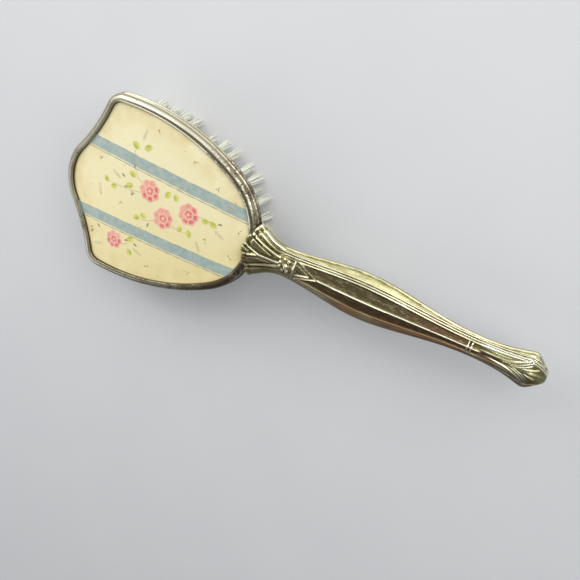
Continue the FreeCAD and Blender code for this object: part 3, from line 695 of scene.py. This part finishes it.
films = {
    "band": brushedPaint("blueGreyEnamel", "#AEBBB1", "#99ACA6", "#CFCDB4", 0.5),
    "line": brushedPaint("greyLineEnamel", "#B4B19C", "#9C9A88", "#DDD2AE", 0.7),
    "rosePale": brushedPaint("paleRoseEnamel", "#F6D3BC", "#F1C3AE", "#F2E5C2", 0.4),
    "roseMid": brushedPaint("roseEnamel", "#F3B29C", "#EC9E8A", "#F8D8C0", 0.5),
    "roseDeep": brushedPaint("deepRoseEnamel", "#E4837A", "#DB6C6A", "#F0AC98", 0.6),
    "leaf": brushedPaint("leafEnamel", "#DCDC74", "#CBCD60", "#EBE4AE", 0.6),
    "leafShade": brushedPaint("leafShadeEnamel", "#C8C860", "#B2B652", "#DEDBA0", 0.5),
    "stem": brushedPaint("stemEnamel", "#CBC298", "#B9B088", "#E6DDB8", 0.7),
    "sprig": brushedPaint("sprigEnamel", "#AEA47A", "#978E6A", "#DDD2AE", 0.7),
}
sheets = {name: bmesh.new() for name in films}


def layOnDome(verts, layer):
    for vert in verts:
        vert.co.z = domeZ(vert.co.x, vert.co.y) + paint["lift"] + paint["layer"] * layer


def paintBlob(colour, centre, longHalf, wideHalf, turn, layer, point=0.0, scallops=0, segments=16):
    # A brush dab: an oval turned about its centre, with pointed ends or a scalloped edge where asked
    verts = bmesh.ops.create_circle(sheets[colour], cap_ends=True, segments=segments, radius=1)["verts"]
    for vert in verts:
        angle = math.atan2(vert.co.y, vert.co.x)
        swell = 1 + paint["scallop"] * math.cos(angle * scallops) if scallops else 1
        along = longHalf * math.cos(angle) * swell
        across = wideHalf * math.sin(angle) * abs(math.sin(angle)) ** point * swell
        vert.co.x = headMidX + centre[0] + along * math.cos(turn) - across * math.sin(turn)
        vert.co.y = centre[1] + along * math.sin(turn) + across * math.cos(turn)
    layOnDome(verts, layer)


def tuckedEnd(start, step):
    # Walks along a line until it lies under the rim
    low, high = 0.0, 1.0
    for halving in range(paint["tuckSteps"]):
        middle = (low + high) / 2
        point = start + step * middle
        if edgeGap(headMidX + point.x, point.y) > paint["tuckInset"]:
            low = middle
        else:
            high = middle
    return start + step * low


def paintBand(colour, start, end, width, offset, rng):
    # A long stroke whose edges waver a little
    p = paint
    start, end = Vector(start), Vector(end)
    straight = (end - start).normalized()
    across = Vector((-straight.y, straight.x))
    middle = (start + end) / 2
    reach = straight * (end - start).length
    columns, rows = p["bandGrid"]
    grown = bmesh.ops.create_grid(sheets[colour], x_segments=columns, y_segments=rows, size=1)["verts"]
    phases = [rng.uniform(0, p["phaseReach"]) for each in range(p["phases"])]
    waves = list(zip(p["bandWaves"], phases))
    for vert in grown:
        side = vert.co.y
        base = middle + across * (offset + side * width / 2)
        far = tuckedEnd(base, -reach)
        near = tuckedEnd(base, reach)
        share = (vert.co.x + 1) / 2
        drift = sum(swing * math.sin(share * rate + phase) for (swing, rate), phase in waves)
        edge = p["edgeWave"][0] * side * math.sin(share * p["edgeWave"][1] + phases[2])
        place = far.lerp(near, share) + across * (drift + edge)
        vert.co.x, vert.co.y = headMidX + place.x, place.y
    layOnDome(grown, 0)


def paintStem(points, width):
    # A tapering stroke along a bend
    first, second, third = [Vector(point) for point in points]
    segments = paint["stemSegments"]
    grown = bmesh.ops.create_grid(sheets["stem"], x_segments=segments, y_segments=1, size=1)["verts"]
    for vert in grown:
        share = (vert.co.x + 1) / 2
        place = first * (1 - share) ** 2 + second * 2 * share * (1 - share) + third * share ** 2
        along = (second - first) * (1 - share) + (third - second) * share
        across = Vector((-along.y, along.x)).normalized()
        place = place + across * vert.co.y * width / 2 * mix(1.0, paint["stemTaper"], share)
        vert.co.x, vert.co.y = headMidX + place.x, place.y
    layOnDome(grown, 0)


rose = {
    "petals": 7,
    "body": 0.9,  # these are shares of the rose's radius
    "gapPlace": 0.7,
    "gapLong": 0.19,
    "gapWide": 0.04,
    "shadePlace": 0.68,
    "shadeLong": 0.14,
    "shadeWide": 0.23,
    "cup": 0.5,
    "cupBody": 0.42,
    "cupPetals": 5,
    "foldPlace": 0.24,
    "foldLong": 0.08,
    "foldWide": 0.13,
    "heart": 0.1,
    "shadedSide": (0.6, -0.8),
    "uneven": (0.8, 1.2),  # how much one petal differs from the next
    "shadeChance": (-0.5, 0.4),
    "segments": 56,
    "cupSegments": 40,
}


def paintRose(x, y, radius, rng):
    # A body with pale gaps between its petals, a cup of smaller ones, and one darker side
    r = rose
    middle = Vector((x, y))
    turn = rng.uniform(0, 1)
    body = radius * r["body"]
    paintBlob("rosePale", middle, radius, radius, turn, 1, scallops=r["petals"], segments=r["segments"])
    paintBlob("roseMid", middle, body, body, turn, 2, scallops=r["petals"], segments=r["segments"])
    for petal in range(r["petals"]):
        angle = turn + petal * math.tau / r["petals"]
        size = radius * rng.uniform(*r["uneven"])
        if ray(angle).dot(Vector(r["shadedSide"])) > rng.uniform(*r["shadeChance"]):
            place = middle + ray(angle) * radius * r["shadePlace"]
            paintBlob("roseDeep", place, size * r["shadeLong"], size * r["shadeWide"], angle, 3)
        angle += math.pi / r["petals"] * rng.uniform(*r["uneven"])
        place = middle + ray(angle) * radius * r["gapPlace"]
        paintBlob("rosePale", place, size * r["gapLong"], size * r["gapWide"], angle, 4)
    cup, cupBody, heart = radius * r["cup"], radius * r["cupBody"], radius * r["heart"]
    scallops, segments = r["cupPetals"], r["cupSegments"]
    paintBlob("rosePale", middle, cup, cup, turn, 4, scallops=scallops, segments=segments)
    paintBlob("roseMid", middle, cupBody, cupBody, turn, 5, scallops=scallops, segments=segments)
    for petal in range(r["cupPetals"]):
        angle = turn + petal * math.tau / r["cupPetals"]
        size = radius * rng.uniform(*r["uneven"])
        place = middle + ray(angle) * radius * r["foldPlace"]
        paintBlob("roseDeep", place, size * r["foldLong"], size * r["foldWide"], angle, 6)
    paintBlob("rosePale", middle, heart, heart, turn, 6)


def paintFern(x, y, degrees):
    # A faint stalk with pairs of short strokes that shrink towards its tip
    p = paint
    turn = math.radians(degrees)
    long, wide = p["fernStroke"]
    start = Vector((x, y))
    stalk = ray(turn) * p["fernLength"]
    paintStem((start, start + stalk / 2, start + stalk), wide)
    for pair in range(p["fernPairs"]):
        share = (pair + 0.5) / p["fernPairs"]
        half = mix(1.0, p["fernTaper"], share) * long / 2
        for side in (1, -1):
            lean = turn + side * math.radians(p["fernTurn"])
            place = start + stalk * share + ray(lean) * half
            paintBlob("stem", place, half, wide / 2, lean, 0, segments=p["strokeSegments"])


def makePaint():
    p = paint
    rng = random.Random(p["seed"])
    lineOffset = -(p["bandWidth"] / 2 + p["lineGap"])
    for start, end in p["bands"]:
        paintBand("band", start, end, p["bandWidth"], 0.0, rng)
        paintBand("line", start, end, p["lineWidth"], lineOffset, rng)
    for stem in p["stems"]:
        paintStem(stem, p["stemWidth"])
    for fern in p["ferns"]:
        paintFern(*fern)
    for x, y, turn in p["leaves"]:
        angle = math.radians(turn)
        size = rng.uniform(*p["leafSizes"])
        length, width = [side * size for side in p["leaf"]]
        shadeLong, shadeWide = length * p["leafShade"][0], width * p["leafShade"][1]
        aside = Vector((-math.sin(angle), math.cos(angle))) * shadeWide
        paintBlob("leaf", (x, y), length / 2, width / 2, angle, 1, p["leafPoint"])
        paintBlob("leafShade", Vector((x, y)) + aside, shadeLong, shadeWide, angle, 2, p["leafPoint"])
    length, width = p["grey"]
    for x, y, turn in p["greyLeaves"]:
        paintBlob("sprig", (x, y), length / 2, width / 2, math.radians(turn), 1, p["leafPoint"])
    for x, y, radius in p["roses"]:
        paintRose(x, y, radius, rng)
    for x, y in p["sprigs"]:
        for stroke in range(p["sprigStrokes"]):
            turn = rng.uniform(0, math.tau)
            centre = Vector((x, y)) + ray(turn) * rng.uniform(*p["sprigAway"]) * p["sprigReach"]
            long, wide = p["sprigReach"] / 2, p["sprigWidth"] / 2
            paintBlob("sprig", centre, long, wide, turn, 1, p["sprigPoint"], segments=p["strokeSegments"])
    for name, bm in sheets.items():
        pieceName = "paint" + name[0].upper() + name[1:]
        piece = finishPiece(bm, pieceName, films[name], outward=upwards, smooth=False)
        giveThickness(piece, p["film"])
    print("decoration painted")


makePaint()

# Handle shells: two stamped halves with a fan at the head, a swelling grip, a ring and a flared end
grip = {
    "fan": (13.6, 5.9),  # half width and height of each half at its stations
    "neck": (6.7, 4.9),
    "swell": (10.6, 6.2),
    "ring": (4.9, 4.2),
    "flare": (9.0, 4.8),
    "tip": (2.4, 2.4),
    "fanLength": 21.0,
    "fanNarrows": (0.14, 0.74),  # shares of that length: where it starts, and over how much
    "riseLength": 37.0,
    "fallLength": 49.4,
    "flareLength": 24.1,
    "flareBend": 2.6,
    "pointLength": 6.5,
    "endRound": (2.2, 0.8),  # how much its corners are softened, across and in height
    "ridgePlace": 0.55,
    "ridgeLevel": 0.7,
    "ridgeSoft": 0.9,  # either side of the ridge the faces' directions run into each other
    "flankShare": 0.46,  # of the mesh columns
    "rows": 330,
    "fanRows": (150, 20.0),  # rows are closer where the relief is fine: up to this far past the neck,
    "gripRows": (195, -3.0),  # and past the ring
    "fold": ((0.0, 0.0), (0.1, 0.5), (0.5, 0.85), (1.2, 1.0)),  # the fan's end rolls down: place and lift
    "columns": 136,
    "sheet": 0.5,
    "clearance": 0.06,
    "headGap": 0.15,
    "lapEnd": 1.0,  # past the head's end
    "cornerBack": (3.6, 6),  # how far the front shell's start is rounded back at its corners, how sharply
    "frontFromEnd": 9.0,  # the front shell counts as this far from the fan's end, and shows no scallops
}
shellLow, shellHigh = boxOf("handle_back_shell")
seamZ = shellLow.z
tipX = shellHigh.x
flareX = tipX - grip["pointLength"]
ringX = flareX - grip["flareLength"]
swellX = ringX - grip["fallLength"]
neckX = swellX - grip["riseLength"]
fanX = neckX - grip["fanLength"]
stations = (
    ("fan", "neck", fanX, grip["fanLength"]),
    ("neck", "swell", neckX, grip["riseLength"]),
    ("swell", "ring", swellX, grip["fallLength"]),
)
rowStops = (
    (grip["fanRows"][0], neckX + grip["fanRows"][1]),
    (grip["gripRows"][0], ringX + grip["gripRows"][1]),
    (grip["rows"], tipX),
)

# Stamped relief on the shells; heights and half widths are in millimetres
fanForm = {
    "lobeJoins": (0.206, 0.59, 0.96),  # of the fan's half width
    "lobeStarts": (2.2, 4.5, 6.6),  # how far back from the fan's end each join lies
    "lobeBulges": (1.3, 1.2, 0.7),
    "lobeSquare": 2.6,
    "centreHalf": 2.8,  # of the middle lobe, which closes to a point before the neck
    "centreCloses": 10.5,
    "centreRun": 8.5,
    "secondHalf": (2.3, 8.0),  # outer edge of the next lobe at the neck and at the fan's end
    "secondRun": 16.5,
    "secondBend": 1.55,
    "edgeInset": 0.5,
    "line": (0.65, 0.68),  # height and half width of the lines between the lobes
    "ditch": (0.8, 0.55),
    "edgeDitch": (0.35, 0.4),
    "ditchAway": 1.1,
    "ditchFade": 1.8,  # towards the fan's end
    "belly": 0.25,
    "bellyWidth": 4.0,
    "endLine": (0.15, 0.5),
    "endHollow": (0.5, 1.5),
    "endHollowPlace": 2.4,
    "blend": (-4.0, 5.0),  # from the neck, where the fan's relief fades into the grip's
}
gripForm = {
    "beads": ((-0.6, 0.9, 0.85), (-0.6, -0.9, 0.85), (1.0, 2.6, 0.8), (1.0, -2.6, 0.8), (2.4, 0.0, 1.25),
              (3.2, 2.3, 1.0), (3.2, -2.3, 1.0)),  # past the neck, across, radius
    "collarPlace": 6.0,
    "collar": (0.75, 1.0),
    "collarSpread": 4.4,
    "bracts": ((14.0, 2.3), (17.6, 4.0)),  # apex past the neck, half spread at the start
    "bractStart": 7.0,
    "bractLine": (0.5, 0.36),
    "bractEdge": 0.6,
    "bractDepth": 0.7,  # share of the recess
    "bractGain": 0.5,
    "ridgeLine": (0.38, 0.42),
    "reeds": (1.05, 2.1),  # out from the ridge
    "reedLine": (0.24, 0.45),
    "reedGap": (0.2, 0.24),
    "reedGapAway": 0.45,
    "recess": 0.45,
    "recessByRidge": (0.2, 0.7),  # where it starts, and over how much
    "recessByKeel": (0.3, 0.7),
    "recessBegin": 2.0,
    "keelBegin": (-1.0, 3.0),
    "seamLine": (0.25, 0.42),
    "seamLinePlace": 0.6,
    "seamGap": (0.25, 0.32),
    "seamGapPlace": 1.35,
    "ringBeads": (0.35, 0.5),
    "ringWave": (0.7, 0.3, 4.2),  # level, reach and closeness of its beads
    "ringLine": (0.25, 0.36),
    "ringLineAway": 1.4,
    "ringGap": (0.3, 0.4),
}
flareForm = {
    # each vein: start and across there, end and across there (along the flare and across it), and its bend
    "veins": ((0.05, 0.9, 1.04, 7.3, 4.6), (0.3, 0.35, 1.04, 5.7, 3.8), (0.5, 0.1, 1.02, 3.8, 3.2),
              (0.66, 0.0, 1.14, 2.2, 1.3)),
    "veinHeight": 0.72,
    "veinHalf": (0.42, 0.62),  # at its start and its end
    "veinFade": (0.75, 0.1),  # shares of its run in which it rises and dies away
    "ground": 0.36,
    "groundEdge": 0.8,
    "groundEnds": (0.96, 0.14),  # where along the flare the sunk ground starts to rise, and over how much
    "ditch": (0.45, 0.75),  # outside the outermost vein
    "ditchEnds": (0.45, 0.5),
    "ditchAway": 0.8,
    "ridgeFill": (0.42, 2.6),  # here the flank runs on smoothly over the ridge
    "begin": (1.0, 5.0),
    "border": (0.35, 1.4),
    "borderInset": 1.4,
    "borderRun": 5.0,
}
tarnish = {  # how dark the gilt is: 0 on the crests, 1 in the deepest hollows
    "flat": 0.42,
    "lobes": 0.22,
    "lobeEdge": 1.5,
    "depth": (0.5, 1.0),  # height over which it clears, on the grip and on the fan
    "tip": 0.32,
    "tipBegin": (-1.0, 2.0),
    "tipEdge": (1.2, 1.2),
    "bead": 0.7,
    "betweenBeads": 0.8,
    "beadsBegin": -1.0,
}


def ridge(distance, form):
    return form[0] * bump(distance, form[1])


def softMin(one, other, soft):
    return (one + other - math.hypot(one - other, soft)) / 2


def girth(x):
    # Half width and height of either shell
    g = grip
    if x >= ringX:
        share = ((x - ringX) / g["flareLength"]) ** g["flareBend"]
        tapered = (x - flareX) / g["pointLength"]
        return tuple(
            softMin(mix(ring, flare, share), mix(flare, tip, tapered), soft)
            for ring, flare, tip, soft in zip(g["ring"], g["flare"], g["tip"], g["endRound"]))
    for first, second, start, length in stations:
        if x < start + length:
            break
    share = (x - start) / length
    share = ramp(share, g["fanNarrows"]) if first == "fan" else ease(share)
    return tuple(mix(one, other, share) for one, other in zip(g[first], g[second]))


def section(x, share):
    # Place, outward direction and distances from the ridge, seam and keel; share runs from seam to keel
    wide, high = girth(x)
    ridgeY = wide * grip["ridgePlace"]
    ridgeZ = high * grip["ridgeLevel"]
    centre = (wide ** 2 - ridgeY ** 2 - ridgeZ ** 2) / (2 * (wide - ridgeY))
    radius = wide - centre
    sweep = math.atan2(ridgeZ, ridgeY - centre)
    slope = Vector((high - ridgeZ, ridgeY))
    panelLength = slope.length
    slope.normalize()
    atRidge = (ray(sweep) + slope).normalized()
    flank = grip["flankShare"]
    if share <= flank:
        angle = sweep * share / flank
        place = Vector((centre + radius * math.cos(angle), radius * math.sin(angle)))
        out = ray(angle)
        fromRidge = (sweep - angle) * radius
        fromSeam = angle * radius
        fromKeel = panelLength + fromRidge
    else:
        inwards = (share - flank) / (1 - flank)
        place = Vector((ridgeY * (1 - inwards), mix(ridgeZ, high, inwards)))
        out = slope
        fromRidge = -inwards * panelLength
        fromSeam = sweep * radius - fromRidge
        fromKeel = (1 - inwards) * panelLength
    out = out.lerp(atRidge, bump(fromRidge, grip["ridgeSoft"])).normalized()
    return place, out, fromRidge, fromSeam, fromKeel


def lobeEnd(share):
    # Where the fan's scalloped end lies, for a share of its half width
    f = fanForm
    joins = (-f["lobeJoins"][0], *f["lobeJoins"])
    starts = (f["lobeStarts"][0], *f["lobeStarts"])
    share = min(share, joins[-1])
    for lobe, bulge in enumerate(f["lobeBulges"]):
        if share <= joins[lobe + 1]:
            inLobe = (share - joins[lobe]) / (joins[lobe + 1] - joins[lobe])
            belly = 1 - abs(2 * inLobe - 1) ** f["lobeSquare"]
            return fanX + mix(starts[lobe], starts[lobe + 1], inLobe) - bulge * belly
    return fanX + starts[-1]


def onFan(x):
    # 1 on the fan, 0 from just past the neck
    return 1 - ramp(x - neckX, fanForm["blend"])


def fanRelief(x, across, wide, fromEnd):
    # Lobes that close in towards the neck: rounded faces, with a line and two ditches at each join
    f = fanForm
    back = neckX - x
    inner = f["centreHalf"] * clamp((back - f["centreCloses"]) / f["centreRun"])
    outer = mix(*f["secondHalf"], max(0.0, back / f["secondRun"]) ** f["secondBend"])
    joins = (-inner, inner, outer, wide - f["edgeInset"])
    height = 0.0
    for first, second in zip(joins, joins[1:]):
        if first <= across < second:
            inLobe = 2 * (across - first) / max(second - first, mergeGap) - 1
            height += f["belly"] * clamp((second - first) / f["bellyWidth"]) * (1 - inLobe ** 2)
    for join in joins[1:]:
        away = abs(across - join)
        ditch = f["ditch"] if join < joins[-1] else f["edgeDitch"]
        sunk = ridge(away - f["ditchAway"], ditch) * ease(fromEnd / f["ditchFade"])
        height += ridge(away, f["line"]) - sunk
    hollowed = ridge(fromEnd - f["endHollowPlace"], f["endHollow"])
    return height - hollowed + ridge(fromEnd - f["endLine"][1], f["endLine"])


def bractLine(past, apex, spread):
    start = gripForm["bractStart"]
    return spread * clamp((apex - past) / (apex - start))


def gripRelief(past, across, fromRidge, fromKeel):
    # A line on each ridge, a keel, pointed bracts, and sunk panels beyond them
    g = gripForm
    height = ridge(fromRidge, g["ridgeLine"])
    lastApex, lastSpread = g["bracts"][-1]
    beyond = across - bractLine(past, lastApex, lastSpread)
    if fromRidge < 0:
        sunk = ramp(-fromRidge, g["recessByRidge"]) * ramp(fromKeel, g["recessByKeel"])
        sunk *= ease((past - g["collarPlace"]) / g["recessBegin"]) * ease(beyond / g["bractEdge"])
        height -= g["recess"] * sunk
    height += ridge(fromKeel, g["ridgeLine"]) * ramp(past - lastApex, g["keelBegin"])
    if g["bractStart"] < past < lastApex:
        inside = ease(-beyond / g["bractEdge"])
        height -= g["recess"] * g["bractDepth"] * inside
        for apex, spread in g["bracts"]:
            if past < apex:
                line = ridge(across - bractLine(past, apex, spread), g["bractLine"])
                height += line * (1 + inside * g["bractGain"])
    return height


def flareRelief(x, across, wide):
    # A palmette: veins that spread from the keel towards a raised border at the end
    f = flareForm
    along = (x - ringX) / grip["flareLength"]
    height = 0.0
    outermost = 0.0
    for start, startAcross, end, endAcross, bend in f["veins"]:
        run = clamp((along - start) / (end - start))
        line = mix(startAcross, endAcross, run ** bend)
        outermost = max(outermost, line)
        fade = ease(run / f["veinFade"][0]) * ease((1 - run) / f["veinFade"][1])
        height = max(height, f["veinHeight"] * bump(across - line, mix(*f["veinHalf"], run)) * fade)
    sunk, dug = 1 - ramp(along, f["groundEnds"]), 1 - ramp(along, f["ditchEnds"])
    height -= sunk * f["ground"] * ease((outermost - across) / f["groundEdge"])
    height -= dug * ridge(across - outermost - f["ditchAway"], f["ditch"])
    if x > flareX - f["borderRun"]:
        fade = ease((x - flareX + f["borderRun"]) / f["borderRun"])
        height = max(height, ridge(wide - across - f["borderInset"], f["border"]) * fade)
    return height


def reedRelief(fromRidge, fromSeam):
    # Fine lines that run the whole length of each flank, beside the ridge and the seam
    g = gripForm
    height = ridge(fromSeam - g["seamLinePlace"], g["seamLine"])
    height -= ridge(fromSeam - g["seamGapPlace"], g["seamGap"])
    for reed in g["reeds"]:
        height += ridge(fromRidge - reed, g["reedLine"])
        height -= ridge(fromRidge - reed + g["reedGapAway"], g["reedGap"])
    return height


def shellRelief(x, across, wide, lies, fromEnd):
    # The fan's, grip's and flare's relief, run into each other, with the ring across the two panels
    g = gripForm
    fromRidge, fromSeam, fromKeel = lies[2:]
    fromRing = x - ringX
    inFan = onFan(x)
    inFlare = ramp(fromRing, flareForm["begin"])
    height = inFan * fanRelief(x, across, wide, fromEnd)
    height += (1 - inFan) * (1 - inFlare) * gripRelief(x - neckX, across, fromRidge, fromKeel)
    height += (1 - inFan) * reedRelief(fromRidge, fromSeam)
    if inFlare:
        height += inFlare * (flareRelief(x, across, wide) + ridge(fromRidge, flareForm["ridgeFill"]))
    if fromRidge < 0:
        level, reach, closeness = g["ringWave"]
        beads = ridge(fromRing, g["ringBeads"]) * (level + reach * math.cos(fromKeel * closeness))
        ring = max(beads, ridge(fromRing + g["ringLineAway"], g["ringLine"]))
        height = max(height, ring) if ring > 0 else height
        height -= ridge(fromRing + g["ringLineAway"] / 2, g["ringGap"])
    return height


def beadHeight(past, y):
    # The round beads at the neck and the collar after them
    g = gripForm
    height = 0.0
    for beadX, beadY, radius in g["beads"]:
        left = radius ** 2 - (past - beadX) ** 2 - (y - beadY) ** 2
        height = max(height, math.sqrt(max(0.0, left)))
    if abs(y) < g["collarSpread"]:
        height = max(height, ridge(past - g["collarPlace"], g["collar"]))
    return height


def rowX(row, start):
    # How far along the handle a row of the mesh lies, from the start of its column
    first = len(grip["fold"]) - 1
    low = start + grip["fold"][-1][0]
    if row <= first:
        return start + grip["fold"][row][0]
    for last, high in rowStops:
        if row <= last:
            return mix(low, high, (row - first) / (last - first))
        first, low = last, high


def makeShell(name, node, facing):
    g = grip
    t = tarnish
    bm = bmesh.new()
    hollow = bm.verts.layers.float.new("hollow")
    grown = bmesh.ops.create_grid(bm, x_segments=g["rows"], y_segments=g["columns"], size=1)["verts"]
    for vert in grown:
        row = round((vert.co.x + 1) / 2 * g["rows"])
        side = 1 if vert.co.y < 0 else -1
        share = 1 - abs(vert.co.y)
        atFan = section(fanX, share)[0].x
        # The back shell starts at the fan's scalloped end, the front one where the head ends
        if facing > 0:
            start = lobeEnd(atFan / g["fan"][0])
        else:
            neck = headSizes["neck"]
            start = headNeckX - neck + math.sqrt(neck ** 2 - atFan ** 2) + g["headGap"]
            back, sharpness = g["cornerBack"]
            start += back * (atFan / g["fan"][0]) ** sharpness
        x = rowX(row, start)
        lift = g["fold"][row][1] if row < len(g["fold"]) else 1.0
        wide = girth(x)[0]
        lies = section(x, share)
        across = lies[0].x
        fromEnd = x - start if facing > 0 else g["frontFromEnd"]
        height = shellRelief(x, across, wide, lies, fromEnd)
        past = x - neckX
        inFan = onFan(x)
        inLobes = inFan * ease((fanForm["secondHalf"][1] - across) / t["lobeEdge"])
        dark = clamp(t["flat"] + t["lobes"] * inLobes - height / mix(*t["depth"], inFan))
        dark = max(dark, t["tip"] * ramp(x - flareX, t["tipBegin"]) * ramp(wide - across, t["tipEdge"]))
        beads = beadHeight(past, across * side)
        if beads > 0:
            height = max(height, beads)
            dark = clamp(t["bead"] - beads)
        elif t["beadsBegin"] < past < gripForm["bractStart"] and across < gripForm["collarSpread"]:
            dark = t["betweenBeads"]
        vert[hollow] = dark
        place = lies[0] + lies[1] * height
        y = side * place.x
        z = seamZ + facing * max(0.0, place.y)
        # Over the head, the back shell lies on the rim and the dome, and its end rolls down to them
        if facing > 0 and x < headNeckX + g["lapEnd"]:
            under = seamZ
            if edgeGap(x, y) > 0:
                under = max(seamZ, headTopZ(x, y) + g["clearance"])
            z = under + max(0.0, z - under) * lift
        vert.co = (x, y, z)
    lastRow = [edge for edge in bm.edges if all(vert.co.x > tipX - mergeGap for vert in edge.verts)]
    bmesh.ops.contextual_create(bm, geom=lastRow)
    piece = finishPiece(bm, name, gilt, sharpDegrees=70, outward=upwards * facing)
    giveThickness(piece, g["sheet"])
    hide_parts(node)
    print(name, len(piece.data.polygons), "faces")


makeShell("handleBackShell", "handle_back_shell", 1)
makeShell("handleFrontShell", "handle_front_shell", -1)

# Bristles: every tuft a bunch of nylon filaments that spread a little towards the tips
tufts = {
    "pitch": 7.4,
    "tipRadius": 1.85,
    "filaments": 17,
    "filamentRadius": 0.22,
    "sides": 5,
    "steps": 4,
    "rootSpread": 1.25,
    "tipSpread": 2.0,
    "edgeReach": 15.0,  # tufts nearer the edge than this lean outwards,
    "fullLean": 11.0,  # and those nearer than this lean fully,
    "tipInset": 5.6,  # so that their tips end about this far in
    "leanShares": (0.8, 1.15),
    "slopeStep": 0.5,
    "twist": 0.35,
    "stray": 0.42,
    "unevenness": 0.52,
    "spiral": 2.39996,  # radians from one filament to the next
    "bend": 1.4,
    "taper": (0.3, 4),
    "rootDepth": 0.6,
    "seed": 4,
}


def filamentMesh():
    bm = bmesh.new()
    bmesh.ops.create_circle(bm, segments=tufts["sides"], radius=1)
    loop = bm.edges[:]
    for step in range(tufts["steps"]):
        verts, loop = freshLoop(bm, loop)
        bmesh.ops.translate(bm, vec=(0, 0, 1), verts=verts)
    bmesh.ops.edgeloop_fill(bm, edges=loop)
    return meshFrom(bm, "filament")


def outwardLean(x, y):
    t = tufts
    gap = edgeGap(x, y)
    if gap > t["edgeReach"]:
        return Vector((0, 0))
    step = t["slopeStep"]
    slopeX = edgeGap(x - step, y) - edgeGap(x + step, y)
    slopeY = edgeGap(x, y - step) - edgeGap(x, y + step)
    fade = 1 - ease((gap - t["fullLean"]) / (t["edgeReach"] - t["fullLean"]))
    return Vector((slopeX, slopeY)).normalized() * (gap - t["tipInset"]) * fade


def makeTuftRow(node, template, rootZ, rng):
    t = tufts
    low, high = boxOf(node)
    span = high.x - low.x - 2 * t["tipRadius"]
    steps = round(span / t["pitch"])
    rowY = (low.y + high.y) / 2
    bm = bmesh.new()
    bends = []
    for tuft in range(steps + 1):
        tuftX = low.x + t["tipRadius"] + span * tuft / steps
        lean = outwardLean(tuftX, rowY)
        twist = Vector((rng.gauss(0, t["twist"]), rng.gauss(0, t["twist"])))
        for filament in range(t["filaments"]):
            away = math.sqrt((filament + 0.5) / t["filaments"])
            spoke = ray(filament * t["spiral"]) * away
            root = Vector((tuftX, rowY)) + spoke * t["rootSpread"]
            drift = spoke * (t["tipSpread"] - t["rootSpread"]) + lean * rng.uniform(*t["leanShares"]) + twist
            drift += Vector((rng.gauss(0, t["stray"]), rng.gauss(0, t["stray"])))
            tipZ = low.z + abs(rng.gauss(0, t["unevenness"]))
            bends.append((root, drift, tipZ))
            bm.from_mesh(template)
    bm.verts.ensure_lookup_table()
    perFilament = len(template.vertices)
    for index, vert in enumerate(bm.verts):
        root, drift, tipZ = bends[index // perFilament]
        share = vert.co.z / t["steps"]
        middle = root + drift * share ** t["bend"]
        radius = t["filamentRadius"] * (1 - t["taper"][0] * share ** t["taper"][1])
        vert.co = (middle.x + vert.co.x * radius, middle.y + vert.co.y * radius, mix(rootZ, tipZ, share))
    piece = finishPiece(bm, "tuftRow" + node[-2:], nylon, sharpDegrees=60)
    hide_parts(node)
    return len(piece.data.polygons)


def makeTufts():
    rng = random.Random(tufts["seed"])
    template = filamentMesh()
    rootZ = boxOf("bristle_block")[0].z + tufts["rootDepth"]
    rows = sorted(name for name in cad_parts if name.startswith("tuft_row_"))
    faces = sum(makeTuftRow(node, template, rootZ, rng) for node in rows)
    print("tufts:", len(rows), "rows,", faces, "faces")


makeTufts()

# Pieces that keep the frame's own shape
kept = {
    "bristle_block": ivory,
    "panel_backing": hiddenFinish("pulpBoard", 0.0, 0.8, "#B49A72", "#8F7650", 1.5),
    "tuft_anchors": hiddenFinish("drawnWire", 1.0, 0.35, "#B8B2A0", "#8F8875", 0.8),
    "tang": hiddenFinish("rolledSteel", 1.0, 0.4, "#A9A8A4", "#84827C", 2.0),
    "tang_screws": hiddenFinish("screwSteel", 1.0, 0.3, "#B5B3AC", "#8D8A82", 0.7),
    "handle_core": hiddenFinish("turnedWood", 0.0, 0.65, "#A77F50", "#7F5A33", 2.5),
}
for node, material in kept.items():
    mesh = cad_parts[node].data
    mesh.materials.clear()
    mesh.materials.append(material)
print("kept pieces finished")
